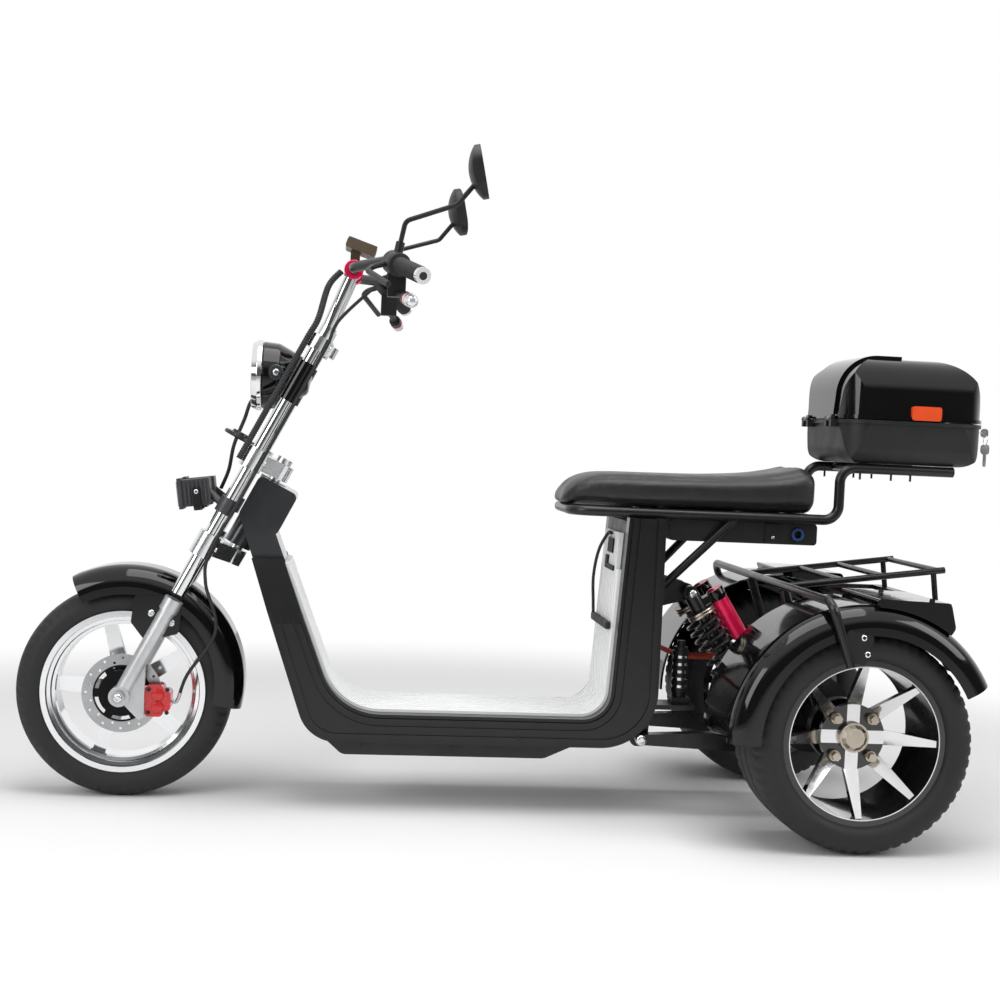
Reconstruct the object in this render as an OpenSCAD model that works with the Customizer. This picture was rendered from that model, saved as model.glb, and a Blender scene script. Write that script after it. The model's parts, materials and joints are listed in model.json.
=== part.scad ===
// Three-wheeled electric scooter: raked fork, U-shaped footboard, bench seat,
// two wide rear wheels under moulded mudguards, tube rack and a lidded top box.
// Millimetres. -X is forward, -Y is the rider's left, +Z is up, the ground is Z = 0.

/* [Stance] */
// Distance between the front and rear axles
wheelbase = 1478; // [1450:1:1510]
// Distance between the rear wheel centres
rear_track = 646; // [630:1:662]
// Reach of the top box's lock behind the rear axle
rear_overhang = 342; // [330:1:354]

/* [Front wheel] */
// Outer radius of the front tyre
front_tyre_r = 225; // [221:1:229]
// Width of the front tyre
front_tyre_w = 116; // [108:1:122]
// Height of the front tyre's section above its rim
front_tyre_h = 60; // [55:1:65]
// Number of flat spokes in the front rim
front_spokes = 5; // [4:1:7]
// Outer radius of the brake disc
disc_r = 82; // [76:1:88]

/* [Rear wheels] */
// Outer radius of the rear tyres
rear_tyre_r = 223; // [219:1:227]
// Width of a rear tyre
rear_tyre_w = 212; // [200:1:216]
// Height of a rear tyre's section above its rim
rear_tyre_h = 63; // [58:1:68]
// Number of spokes in a rear rim
rear_spokes = 8; // [6:1:10]
// Radius of the circle of lug nuts
lug_circle_r = 53; // [48:1:56]

/* [Fork] */
// Rake of the fork from the vertical
rake = 27; // [26:0.5:28]
// Half the spacing of the fork legs
fork_half = 95; // [92:1:98]
// Distance of the steering stem behind the fork legs
stem_setback = 55; // [50:1:58]
// Radius of the fork tubes
fork_tube_r = 15; // [13:0.5:16]
// Height of the lower clamp along the fork, from the axle
lower_clamp_s = 358; // [352:1:362]
// Height of the upper clamp along the fork, from the axle
upper_clamp_s = 562; // [558:1:570]
// Height of the top clamp along the fork, from the axle
top_clamp_s = 836; // [820:1:850]

/* [Handlebar] */
// Radius of the handlebar tube
bar_r = 11; // [10:0.5:12]
// Height of the bar along the fork, from the axle
bar_s = 1008; // [990:1:1020]
// Radius of a grip
grip_r = 17; // [15:0.5:19]
// Radius of the headlamp rim
lamp_r = 75; // [68:1:80]

/* [Body] */
// Half the width of the footboard over its side rails
body_half_w = 140; // [132:1:146]
// Width of one side rail
rail_w = 35; // [30:1:40]
// Height of the footboard
floor_z = 206; // [200:1:212]
// Height of the side rails' underside
rail_bottom_z = 146; // [140:1:152]
// Height of the seat tubes above the rack's cross bar
seat_rise = 143; // [138:1:150]
// Width of the seat
seat_w = 286; // [270:1:300]

/* [Rear end] */
// Gap between a rear tyre and its mudguard
guard_gap = 47; // [42:1:52]
// Height of the rack's cross bar above the mudguards' inner crown
bar_rise = 11; // [9:1:16]
// Gap between a mudguard and the dropped ends of the cross bar
drop_gap = 1; // [0.5:0.5:6]

/* [Top box] */
// Length of the top box
box_l = 318; // [306:1:324]
// Width of the top box
box_w = 320; // [300:1:340]
// Height of the top box's underside above the seat tubes
box_rise = 125; // [121:1:133]
// Depth of the top box's base
box_base_h = 94; // [88:1:100]
// Height of the top box's lid
box_lid_h = 134; // [120:1:144]
// Wall of the top box
box_wall = 4; // [3:0.5:5]

/* [Hidden] */
$fn = 48;
// Radial gap of a running or sliding fit
fit = 0.05;
// Gap between seated pieces
seat_gap = 0.3;
overall_l = front_tyre_r + wheelbase + rear_overhang;
fx = front_tyre_r - overall_l / 2;
rx = fx + wheelbase;
rear_y = rear_track / 2;
rail_in = body_half_w - rail_w;
front_rim_r = front_tyre_r - front_tyre_h;
rear_rim_r = rear_tyre_r - rear_tyre_h;
guard_r = rear_tyre_r + guard_gap;
rack_z = rear_tyre_r + guard_r + bar_rise;
seat_tube_z = rack_z + seat_rise;
box_z = seat_tube_z + box_rise;
box_seam_z = box_z + box_base_h;
box_top_z = box_seam_z + box_lid_h;
fork_lower_r = fork_tube_r + 1.5;
fork_collar_r = fork_tube_r + 5;
fork_lower_top = 228;
clamp_t = 34;
stem_r = 14;
axle_r = 8;
stub_r = 14;
guard_wall = 5;
sides = [-1, 1];

// Direction of length one
function unit(v) = v / norm(v);

// Half the angle at corner i of an outline
function half_angle(p, i) = let (
    n = len(p),
    a = unit(p[(i + n - 1) % n] - p[i]),
    b = unit(p[(i + 1) % n] - p[i])) acos(a * b) / 2;

// Direction from corner i into a convex outline
function inward(p, i) = let (
    n = len(p),
    a = unit(p[(i + n - 1) % n] - p[i]),
    b = unit(p[(i + 1) % n] - p[i])) unit(a + b);

// Convex outline moved inwards by d
function inset(p, d) = [for (i = [0 : len(p) - 1]) p[i] + inward(p, i) * d / sin(half_angle(p, i))];

// Points where the rounding of corner i begins and ends
function tangents(p, i, r) = let (
    n = len(p),
    t = r / tan(half_angle(p, i)))
    [p[i] + unit(p[(i + n - 1) % n] - p[i]) * t, p[i] + unit(p[(i + 1) % n] - p[i]) * t];

// Convex outline, listed anticlockwise, with a radius at each corner
module rounded(p, r) {
    polygon([for (i = [0 : len(p) - 1]) each tangents(p, i, r[i])]);
    for (i = [0 : len(p) - 1])
        translate(p[i] + inward(p, i) * r[i] / sin(half_angle(p, i)))
            circle(r[i]);
}

// Rounded rectangle about the origin
module rrect(w, h, r) {
    rounded([[-w / 2, -h / 2], [w / 2, -h / 2], [w / 2, h / 2], [-w / 2, h / 2]], [r, r, r, r]);
}

// Side outline (x, z) carried across from y0 to y1
module across(y0, y1) {
    translate([0, y1, 0])
        rotate([90, 0, 0])
            linear_extrude(y1 - y0)
                children();
}

// Cross outline (y, z) carried lengthwise from x0 to x1
module along(x0, x1) {
    translate([x0, 0, 0])
        rotate([90, 0, 90])
            linear_extrude(x1 - x0)
                children();
}

// Block between two opposite corners
module block(a, b) {
    translate(a)
        cube(b - a);
}

// Frame whose z axis points from p to q
module toward(p, q) {
    d = q - p;
    translate(p)
        rotate([0, acos(d[2] / norm(d)), atan2(d[1], d[0])])
            children();
}

// Round bar from p to q
module rod(p, q, r) {
    toward(p, q)
        cylinder(h = norm(q - p), r = r);
}

// Cylinder lying across, from y0 to y1
module pin_y(x, z, y0, y1, r) {
    translate([x, y0, z])
        rotate([-90, 0, 0])
            cylinder(h = y1 - y0, r = r);
}

// How far a bend at point i eats into its straights
function bend_cut(p, i, bend) = (i == 0 || i == len(p) - 1) ? 0
    : bend * tan(acos(unit(p[i] - p[i - 1]) * unit(p[i + 1] - p[i])) / 2);

// Round bar through points, with bends of one radius
module bent_rod(p, r, bend) {
    last = len(p) - 1;
    for (i = [0 : last - 1]) {
        d = unit(p[i + 1] - p[i]);
        rod(p[i] + d * bend_cut(p, i, bend), p[i + 1] - d * bend_cut(p, i + 1, bend), r);
    }
    for (i = [1 : last - 1]) {
        d1 = unit(p[i] - p[i - 1]);
        d2 = unit(p[i + 1] - p[i]);
        turn = acos(d1 * d2);
        n = unit(d2 - d1 * (d1 * d2));
        c = p[i] - d1 * bend_cut(p, i, bend) + n * bend;
        w = cross(-n, d1);
        multmatrix([[-n[0], d1[0], w[0], c[0]], [-n[1], d1[1], w[1], c[1]], [-n[2], d1[2], w[2], c[2]]])
            rotate_extrude(angle = turn)
                translate([bend, 0])
                    circle(r);
    }
}

// Ring of n points about p, square to direction d, the first one square to ref
function ring(p, d, r, n, ref) = let (
    u = unit(cross(d, ref)),
    v = cross(d, u))
    [for (k = [0 : n - 1]) p + r * (cos(360 * k / n) * u + sin(360 * k / n) * v)];

// Point on a smooth curve through the listed points, t from 0 to len - 1
function on_curve(p, t) = let (
    n = len(p) - 1,
    i = min(floor(t), n - 1),
    f = t - i,
    a = p[max(i - 1, 0)],
    b = p[i],
    c = p[i + 1],
    d = p[min(i + 2, n)])
    0.5 * ((2 * b) + (c - a) * f + (2 * a - 5 * b + 4 * c - d) * f * f
        + (3 * b - a - 3 * c + d) * f * f * f);

// Cord of radius r with n sides along a list of points that never run along ref
module cord(path, r, n, ref = [0, 1, 0]) {
    m = len(path);
    rings = [for (i = [0 : m - 1])
        ring(path[i], unit(path[min(i + 1, m - 1)] - path[max(i - 1, 0)]), r, n, ref)];
    points = [for (q = rings) each q];
    walls = [for (i = [0 : m - 2]) for (k = [0 : n - 1])
        each [[i * n + k, (i + 1) * n + k, i * n + (k + 1) % n],
            [i * n + (k + 1) % n, (i + 1) * n + k, (i + 1) * n + (k + 1) % n]]];
    first = [for (k = [0 : n - 1]) k];
    final = [for (k = [n - 1 : -1 : 0]) (m - 1) * n + k];
    polyhedron(points, concat(walls, [first, final]), convexity = 6);
}

// Cord through points with a smooth curve
module smooth_cord(p, r, steps) {
    cord([for (i = [0 : steps]) on_curve(p, i * (len(p) - 1) / steps)], r, 8);
}

// Points of a bent bar: straights joined by arcs of one radius, each arc in the given steps
function bent_points(p, bend, steps) = [for (i = [0 : len(p) - 1]) each
    (i == 0 || i == len(p) - 1) ? [p[i]] : let (
        d1 = unit(p[i] - p[i - 1]),
        d2 = unit(p[i + 1] - p[i]),
        turn = acos(d1 * d2),
        n = unit(d2 - d1 * (d1 * d2)),
        start = p[i] - d1 * bend_cut(p, i, bend))
        [for (k = [0 : steps]) let (a = turn * k / steps)
            start + n * bend * (1 - cos(a)) + d1 * bend * sin(a)]];

// Frame of the fork: origin at the front axle, z up the legs, x to the rear
module in_fork() {
    translate([fx, 0, front_tyre_r])
        rotate([0, rake, 0])
            children();
}

// Place of a point given in the fork's frame
function fork_at(x, y, s) = [fx + s * sin(rake) + x * cos(rake), y,
    front_tyre_r + s * cos(rake) - x * sin(rake)];

// Footboard outlines (x, z); the shield end hangs on the fork, the riser on the rear axle
neck_front = fork_at(stem_setback - 28, 0, upper_clamp_s - 116);
neck_top = fork_at(stem_setback - 28, 0, upper_clamp_s - 24);
neck_back = fork_at(stem_setback + 62, 0, upper_clamp_s - 24);
shield_toe_x = fx + 389;
riser_x = rx - 355;
// Both lines run on above the body, which is trimmed level under the seat
open_top_z = seat_tube_z + 150;
outer_line = [[shield_toe_x, rail_bottom_z], [riser_x, rail_bottom_z], [riser_x, open_top_z],
    [neck_top[0], open_top_z], [neck_front[0], neck_front[2]]];
outer_round = [82, 120, 40, 40, 40];
inner_top_z = open_top_z - 17;
inner_line = [[fx + 447, floor_z], [rx - 460, floor_z], [rx - 426, inner_top_z],
    [fx + 223, inner_top_z]];
inner_round = [130, 60, 30, 30];

module outer_area(d) {
    rounded(inset(outer_line, d), [for (r = outer_round) r - d]);
}

module inner_area(d) {
    rounded(inset(inner_line, d), [for (r = inner_round) r - d]);
}

// Band of the U between its outer and inner lines, narrowed by d on both edges
module rail_band(d) {
    difference() {
        outer_area(d);
        inner_area(-d);
    }
}

// Layer along the inside of the U, from depth d0 to d1 above the floor line
module lining(d0, d1) {
    difference() {
        inner_area(d0);
        inner_area(d1);
    }
}

// Height where the front rails have narrowed into the neck
shield_top_z = 500;
mat_top_z = seat_tube_z - 124;
mid_x = 0;

module side_rails() {
    step = 6;
    face = body_half_w - step;
    groove = 3;
    // The front ends are cut on a slant that falls outwards
    slant_in_z = 557;
    slant_out_z = 353;
    color("#17181a")
        for (s = sides)
            mirror([0, s < 0 ? 1 : 0, 0])
                intersection() {
                    difference() {
                        union() {
                            across(rail_in, face)
                                rail_band(0);
                            across(face - 1, body_half_w)
                                rail_band(8);
                        }
                        across(body_half_w - groove, body_half_w + 1)
                            difference() {
                                rail_band(19);
                                rail_band(23.5);
                            }
                    }
                    union() {
                        along(fx, mid_x + 1)
                            polygon([[rail_in - 10, 0], [body_half_w + 10, 0],
                                [body_half_w + 10, slant_out_z], [rail_in - 10, slant_in_z]]);
                        along(mid_x, rx)
                            translate([rail_in - 10, 0])
                                square([rail_w + 20, seat_tube_z - seat_tube_r - seat_gap]);
                    }
                }
}

pan_t = 24;
module floor_pan() {
    color("#202123")
        intersection() {
            across(-rail_in, rail_in)
                difference() {
                    inner_area(-pan_t);
                    inner_area(0);
                }
            union() {
                block([fx, -rail_in, 0], [mid_x, rail_in, shield_top_z]);
                block([mid_x, -rail_in, 0], [rx, rail_in, seat_tube_z - 20]);
            }
        }
}

mat_t = 6;
module floor_mat() {
    half = rail_in - 3;
    ribs = 9;
    color("#c9cacb")
        intersection() {
            union() {
                across(-half, half)
                    lining(0, mat_t);
                for (i = [0 : ribs - 1])
                    let (y = -half + 14 + i * (2 * half - 28) / (ribs - 1))
                        across(y - 5, y + 5)
                            lining(mat_t - 1, mat_t + 2.5);
            }
            union() {
                block([fx, -half, 0], [mid_x, half, shield_top_z + 12]);
                block([mid_x, -half, 0], [rx, half, mat_top_z]);
                block([mid_x, -half + 16, 0], [rx, half - 16, mat_top_z + 78]);
            }
        }
}

// Strap across the seat riser: a flat bar, and a cord from its far end up to the riser's top
module riser_strap() {
    d = mat_t + 2.5 + seat_gap;
    bar_z = floor_z + 187;
    lean = (inner_line[2][0] - inner_line[1][0]) / (inner_line[2][1] - inner_line[1][1]);
    function face_x(z) = inner_line[1][0] + (z - floor_z) * lean - d;
    color("#161616") {
        intersection() {
            across(-rail_in + 7, rail_in - 9)
                lining(d, d + 12);
            block([mid_x, -rail_in, bar_z], [rx, rail_in, bar_z + 18]);
        }
        smooth_cord([[face_x(bar_z) - 6, 88, bar_z + 10], [face_x(bar_z) - 8, 86, bar_z + 40],
            [face_x(bar_z) - 13, 70, bar_z + 100], [face_x(bar_z) - 9, 40, bar_z + 160],
            [face_x(bar_z) + 4, 8, bar_z + 200],
            [face_x(mat_top_z + 70) - 3.8, -12, mat_top_z + 72]], 3.5, 24);
    }
}

belly_top_z = floor_z - pan_t;
module belly_case() {
    half = rail_in - seat_gap;
    low = rail_bottom_z - 31;
    color("#1c1d1f") {
        across(-half, half)
            rounded([[fx + 460, low], [rx - 590, low], [rx - 500, rail_bottom_z + 10],
                [rx - 500, belly_top_z], [fx + 425, belly_top_z], [fx + 425, rail_bottom_z]],
                [24, 30, 10, 6, 6, 20]);
        for (s = sides)
            for (x = [fx + 510, fx + 700])
                pin_y(x, low + 20, s > 0 ? half - 1 : -half - 5, s > 0 ? half + 5 : -half + 1, 8);
    }
}

// Stem bearing housing and the gusset that joins it to the shield
head_r = 29;
neck_half = 74;
module neck() {
    foot = [fork_at(stem_setback, 0, lower_clamp_s + clamp_t / 2 + 6),
        fork_at(stem_setback, 0, upper_clamp_s - clamp_t / 2 - 6)];
    color("#2a2d31")
        difference() {
            union() {
                rod(foot[0], foot[1], head_r);
                across(-neck_half, neck_half)
                    rounded([[neck_front[0], neck_front[2]],
                        [neck_front[0] + 30, neck_front[2] - 65],
                        [neck_back[0] - 40, neck_back[2] - 80], [neck_back[0], neck_back[2]],
                        [neck_top[0], neck_top[2]]], [12, 10, 14, 12, 12]);
                intersection() {
                    across(-neck_half, neck_half)
                        rail_band(0);
                    block([fx, -neck_half, shield_top_z],
                        [mid_x, neck_half, neck_front[2]]);
                }
            }
            rod(foot[0] - (foot[1] - foot[0]), foot[1] + (foot[1] - foot[0]), stem_r + fit);
        }
}

post_x0 = riser_x - 40;
post_x1 = riser_x - 6;
pivot_x = rx - 388;
pivot_z = rail_bottom_z + 19;
pivot_r = 7;
shock_y = 62;
shock_top = [rx - 281, seat_tube_z - 171];
shock_low = [rx - 148, rear_tyre_r + 45];
shock_pin_r = 6;
lug_y = 92;
post_z = floor_z + 24;
// Shelf on the post for the canister
shelf_z = post_z + 6;
canister_at = [rx - 295, -66];
module rear_post() {
    color("#141516") {
        block([post_x0, -rail_in + seat_gap, post_z],
            [post_x1, rail_in - seat_gap, seat_tube_z - seat_tube_r - seat_gap]);
        block([post_x1 - 1, -rail_in + seat_gap, shelf_z - 10], [canister_at[0] + 26, -34, shelf_z]);
        for (s = sides) {
            difference() {
                across(s * lug_y - 6, s * lug_y + 6)
                    rounded([[pivot_x - 18, pivot_z - 20], [pivot_x + 20, pivot_z - 20],
                        [post_x1, post_z + 5], [post_x0, post_z + 5]], [14, 14, 3, 3]);
                pin_y(pivot_x, pivot_z, -120, 120, pivot_r + fit);
            }
            across(s * (shock_y - 22) - 4, s * (shock_y - 22) + 4)
                rounded([[post_x1 - 1, shock_top[1] - 40], [shock_top[0] + 8, shock_top[1] - 16],
                    [shock_top[0] + 14, shock_top[1] + 14], [post_x1 - 1, shock_top[1] + 40]],
                    [2, 12, 12, 2]);
            pin_y(shock_top[0], shock_top[1], s > 0 ? shock_y - 22 : -shock_y - 16,
                s > 0 ? shock_y + 16 : -shock_y + 22, shock_pin_r);
        }
    }
}

// Ribbed canister that stands on the post's shelf
module canister() {
    ribs = 6;
    color("#1b1c1e")
        translate([canister_at[0], canister_at[1], shelf_z + seat_gap]) {
            translate([-20, -20, 0])
                cube([40, 40, 13]);
            translate([0, 0, 12])
                cylinder(h = 110, r = 15);
            for (i = [0 : ribs - 1])
                translate([0, 0, 24 + 16 * i])
                    cylinder(h = 9, r = 18);
            translate([0, 0, 121])
                cylinder(h = 14, r = 9);
        }
}

seat_tube_r = 11;
seat_tube_y = 118;
seat_front_x = rx - 576;
seat_back_x = rx - 22;
module seat_frame() {
    z = seat_tube_z;
    strut_x = rx - 198;
    strut_z = z - 159;
    color("#121314") {
        bent_rod([[seat_back_x, -seat_tube_y, z], [seat_front_x + 22, -seat_tube_y, z],
            [seat_front_x + 22, seat_tube_y, z], [seat_back_x, seat_tube_y, z]], seat_tube_r, 45);
        for (x = [(post_x0 + post_x1) / 2, strut_x + 60, seat_back_x - 14])
            pin_y(x, z, -seat_tube_y, seat_tube_y, seat_tube_r - 1);
        for (s = sides)
            rod([strut_x, s * (seat_tube_y - 2), z], [post_x1 + 10, s * lug_y, strut_z], 9);
        for (s = sides)
            block([post_x1 + seat_gap, s * lug_y - 12, strut_z - 26],
                [post_x1 + 16, s * lug_y + 12, strut_z + 22]);
    }
}

module seat() {
    low = seat_tube_z + seat_tube_r + seat_gap;
    w = seat_w / 2;
    color("#101011")
        intersection() {
            across(-seat_w, seat_w)
                rounded([[seat_front_x + 22, low], [seat_back_x - 6, low], [seat_back_x, low + 60],
                    [seat_back_x - 22, low + 102], [seat_front_x + 50, low + 70],
                    [seat_front_x, low + 26]], [8, 12, 20, 16, 24, 10]);
            linear_extrude(low + 200)
                rounded([[seat_front_x - 6, -w * 0.5], [seat_front_x + 110, -w], [seat_back_x + 8, -w],
                    [seat_back_x + 8, w], [seat_front_x + 110, w], [seat_front_x - 6, w * 0.5]],
                    [41, 53, 37, 37, 53, 41]);
        }
}

socket_x = rx - 60;
socket_z = seat_tube_z - 35;
socket_r = 8;
socket_deep = 14;
battery_half = 98;
module battery_box() {
    top = seat_tube_z - seat_tube_r - seat_gap;
    color("#1d1e20")
        difference() {
            union() {
                across(-battery_half, battery_half)
                    translate([rx - 178, top - 23])
                        rrect(324, 46, 8);
                pin_y(socket_x, socket_z, -battery_half - 6, -battery_half + 2, socket_r + 7);
            }
            pin_y(socket_x, socket_z, -battery_half - 7, -battery_half - 6 + socket_deep, socket_r);
        }
}

arm_y = 118;
module swingarm() {
    axle_z = rear_tyre_r;
    boss_r = 11;
    top_z = pivot_z + 12.5 + 0.6 * (axle_z - pivot_z - 42);
    color("#151617") {
        pin_y(pivot_x, pivot_z, -arm_y - 18, -lug_y - 7, boss_r);
        pin_y(pivot_x, pivot_z, -lug_y + 7, lug_y - 7, 15);
        pin_y(pivot_x, pivot_z, lug_y + 7, arm_y + 18, boss_r);
        pin_y(pivot_x, pivot_z, -arm_y, arm_y, pivot_r);
        for (s = sides) {
            across(s * arm_y - 14, s * arm_y + 14)
                rounded([[pivot_x + 2, pivot_z - boss_r], [rx - 150, pivot_z - 22], [rx - 20, axle_z - 46],
                    [rx - 10, axle_z - 31], [rx - 160, top_z], [pivot_x + 2, pivot_z + boss_r]],
                    [7, 18, 8, 4, 18, 7]);
            across(s * (shock_y - 22) - 4, s * (shock_y - 22) + 4)
                rounded([[shock_low[0] - 30, pivot_z - 5], [shock_low[0] + 30, pivot_z - 5],
                    [shock_low[0] + 14, shock_low[1] + 14], [shock_low[0] - 14, shock_low[1] + 14]],
                    [2, 2, 12, 12]);
            pin_y(shock_low[0], shock_low[1], s > 0 ? shock_y - 22 : -shock_y - 16,
                s > 0 ? shock_y + 16 : -shock_y + 22, shock_pin_r);
        }
        block([shock_low[0] - 34, -arm_y, pivot_z - 17], [shock_low[0] + 34, arm_y, pivot_z + 8]);
    }
}

// Rear axle tube with the motor and its reduction in the middle
axle_tube_r = 30;
motor_r = 86;
// Uprights that carry the cross bar of the mudguards
bar_x = rx - 95;
guard_bar_r = 9;
upright_y = 128;
upright_low = [rx - 8, rear_tyre_r + axle_tube_r - 8];
upright_top = [bar_x, rack_z] + unit(upright_low - [bar_x, rack_z]) * (guard_bar_r + seat_gap);
stub_end = rear_y + 4;
hub_back = rear_y - 42;
module axle_housing() {
    z = rear_tyre_r;
    color("#1a1b1d") {
        pin_y(rx, z, -hub_back + 32, hub_back - 32, axle_tube_r);
        pin_y(rx, z, -80, 80, motor_r);
        pin_y(rx, z, 79, 104, 60);
        pin_y(rx, z, -104, -79, 60);
        for (s = sides) {
            pin_y(rx, z, s > 0 ? hub_back - 33 : -hub_back + 8, s > 0 ? hub_back - 8 : -hub_back + 33, 66);
            pin_y(rx, z, s > 0 ? hub_back - 9 : -stub_end, s > 0 ? stub_end : -hub_back + 9, stub_r);
        }
        for (s = sides)
            rod([upright_low[0], s * upright_y, upright_low[1]],
                [upright_top[0], s * upright_y, upright_top[1]], 11);
    }
}

shock_axis = unit([shock_low[0] - shock_top[0], 0, shock_low[1] - shock_top[1]]);
shock_len = norm(shock_low - shock_top);
// Frame of one shock: origin at its upper eye, z toward the lower one
module in_shock(s) {
    p = [shock_top[0], s * shock_y, shock_top[1]];
    toward(p, p + shock_axis)
        children();
}

spring_r = 25;
wire_r = 4.2;
spring_from = 56;
reservoir_off = 50;
reservoir_len = 118;
spring_to = shock_len - 34;
module shock_springs() {
    turns = 8;
    per_turn = 16;
    color("#101112")
        for (s = sides)
            in_shock(s)
                cord([for (i = [0 : turns * per_turn])
                    let (a = 360 * i / per_turn, f = i / (turns * per_turn))
                        [spring_r * cos(a), spring_r * sin(a),
                            spring_from + wire_r + f * (spring_to - spring_from - 2 * wire_r)]],
                    wire_r, 8, [0, 0, 1]);
}

module shock_bodies() {
    eye_r = 15;
    color("#191a1c")
        for (s = sides)
            in_shock(s)
                difference() {
                    union() {
                        rotate([90, 0, 0])
                            cylinder(h = 26, r = eye_r, center = true);
                        translate([0, 0, 8])
                            cylinder(h = spring_from - 10, r = 17);
                        translate([0, 0, spring_from - 12])
                            cylinder(h = 12 - seat_gap, r = 31);
                        translate([0, 0, 30])
                            cylinder(h = shock_len - 40, r = 13);
                        translate([0, 0, spring_to + seat_gap])
                            cylinder(h = 10, r = 31);
                        translate([0, 0, shock_len])
                            rotate([90, 0, 0])
                                cylinder(h = 26, r = eye_r, center = true);
                        translate([2 - reservoir_off, -12, 24])
                            cube([36, 24, 16]);
                    }
                    for (z = [0, shock_len])
                        translate([0, 0, z])
                            rotate([90, 0, 0])
                                cylinder(h = 40, r = shock_pin_r + fit, center = true);
                }
}

module shock_reservoirs() {
    color("#c2133c")
        for (s = sides)
            in_shock(s)
                translate([-reservoir_off, 0, 20 + seat_gap])
                    difference() {
                        cylinder(h = reservoir_len, r = 18);
                        translate([2 - seat_gap, -13, -1])
                            cube([17 + seat_gap, 26, 22]);
                    }
}

// Point at radius r from the rear axle, in the direction in which the cables enter the motor.
gland_angle = 55;
function gland(r, y) = [rx - r * cos(gland_angle), y, rear_tyre_r + r * sin(gland_angle)];

module motor_cables() {
    from_z = rear_tyre_r + 127;
    color("#b0341f")
        for (y = [-16, 0, 16])
            smooth_cord([[post_x1 + seat_gap, y, from_z], [post_x1 + 24, y, from_z],
                [post_x1 + 90, y, from_z - 20], [rx - 150, y, from_z - 18],
                gland(motor_r + 40, y), gland(motor_r + seat_gap, y)], 5, 24);
}

// Inner and outer edges of a mudguard
guard_in_y = rear_y - rear_tyre_w / 2 - 8;
guard_out_y = rear_y + rear_tyre_w / 2 + 13;
// One mudguard: arch over the tyre with an outer skirt and a squared tail
module guard_shape() {
    y0 = guard_in_y;
    y1 = guard_out_y;
    r0 = rear_tyre_r - 6;
    r1 = guard_r + guard_wall;
    from = 27;
    sweep = 154;
    translate([rx, 0, rear_tyre_r]) {
        rotate([90, 0, 0])
            rotate([0, 0, from])
                rotate_extrude(angle = sweep)
                    difference() {
                        rounded([[r0 - 60, y0], [r1, y0], [r1, y1], [r0 - 60, y1]], [2, 4, 42, 2]);
                        rounded([[r0 - 80, y0 - 20], [guard_r, y0 - 20], [guard_r, y1 - guard_wall],
                            [r0 - 80, y1 - guard_wall]], [2, 2, 42 - guard_wall, 2]);
                        translate([0, y0 - 1])
                            square([r0, y1 - y0 + 2]);
                    }
        mirror([0, 1, 0])
            difference() {
                across(y0 + 1, y1 - 14)
                    rounded([[20, guard_r - 20], [150, guard_r - 60], [166, guard_r - 36],
                        [154, guard_r + 14], [4, guard_r + 18]], [3, 8, 14, 10, 4]);
                pin_y(0, 0, y0 - 1, y1 + 1, guard_r + 1.5);
            }
    }
}

module rear_guards() {
    color("#0b0b0c") {
        guard_shape();
        mirror([0, 1, 0])
            guard_shape();
    }
}

drop_y = guard_out_y + guard_bar_r + drop_gap;
module guard_bar() {
    color("#131415")
        union() {
            cord(bent_points([[bar_x + 44, -drop_y, rack_z - 124], [bar_x, -drop_y, rack_z],
                [bar_x, drop_y, rack_z], [bar_x + 44, drop_y, rack_z - 124]], 26, 7),
                guard_bar_r, 14, [1, 0, 0]);
            for (s = [0, 1])
                mirror([0, s, 0])
                    across(guard_out_y + seat_gap, guard_out_y + 5)
                        rounded([[rx - 66, rack_z - 112], [rx - 20, rack_z - 122], [rx - 4, rack_z - 64],
                            [rx - 60, rack_z - 52]], [8, 8, 8, 8]);
        }
}

rack_y = 150;
// Half width of the tail strap that joins the rack to the mudguards' squared tails
strap_y = guard_in_y - seat_gap;
strap_z = rack_z - 30;
strap_t = 10;
rack_end = [rx + 252, rack_z + 47];
module rack() {
    r = 7;
    rise = (rack_end[1] - rack_z) / (rack_end[0] - bar_x);
    color("#131415") {
        for (s = sides) {
            rod([bar_x + guard_bar_r + seat_gap, s * rack_y, rack_z + 2],
                [rack_end[0], s * rack_y, rack_end[1]], r);
            rod([rx + 228, s * rack_y, rack_end[1] - 5], [rx + 236, s * rack_y, strap_z + strap_t], 6);
        }
        for (x = [rx + 30, rx + 120, rx + 240])
            pin_y(x, rack_z + (x - bar_x) * rise, -rack_y, rack_y, r - 1);
        block([rx + 224, -strap_y, strap_z], [rx + 248, strap_y, strap_z + strap_t]);
        for (s = sides)
            block([rx + 110, s > 0 ? strap_y - 12 : -strap_y, strap_z],
                [rx + 248, s > 0 ? strap_y : -strap_y + 12, strap_z + strap_t]);
    }
}

module tail_lamp() {
    color("#a01414")
        along(rx + 224, rx + 250)
            translate([0, strap_z - seat_gap - 15])
                rrect(150, 30, 8);
}

carrier_y = seat_tube_y;
box_x1 = rx + rear_overhang - 10;
box_x0 = box_x1 - box_l;
carrier_z = box_z - seat_tube_r - seat_gap;
module box_carrier() {
    up_x = seat_back_x + 44;
    color("#121314") {
        for (s = sides)
            bent_rod([[seat_back_x + seat_gap, s * seat_tube_y, seat_tube_z],
                [up_x, s * seat_tube_y, seat_tube_z], [up_x, s * carrier_y, carrier_z],
                [box_x1 - 60, s * carrier_y, carrier_z]], seat_tube_r, 32);
        for (x = [box_x0 + 70, box_x1 - 80])
            pin_y(x, carrier_z, -carrier_y, carrier_y, 8);
    }
}

// Plan of the top box, moved outwards by out
module box_plan(out) {
    translate([(box_x0 + box_x1) / 2, 0])
        rrect(box_l + 2 * out, box_w + 2 * out, 70 + out);
}

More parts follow.
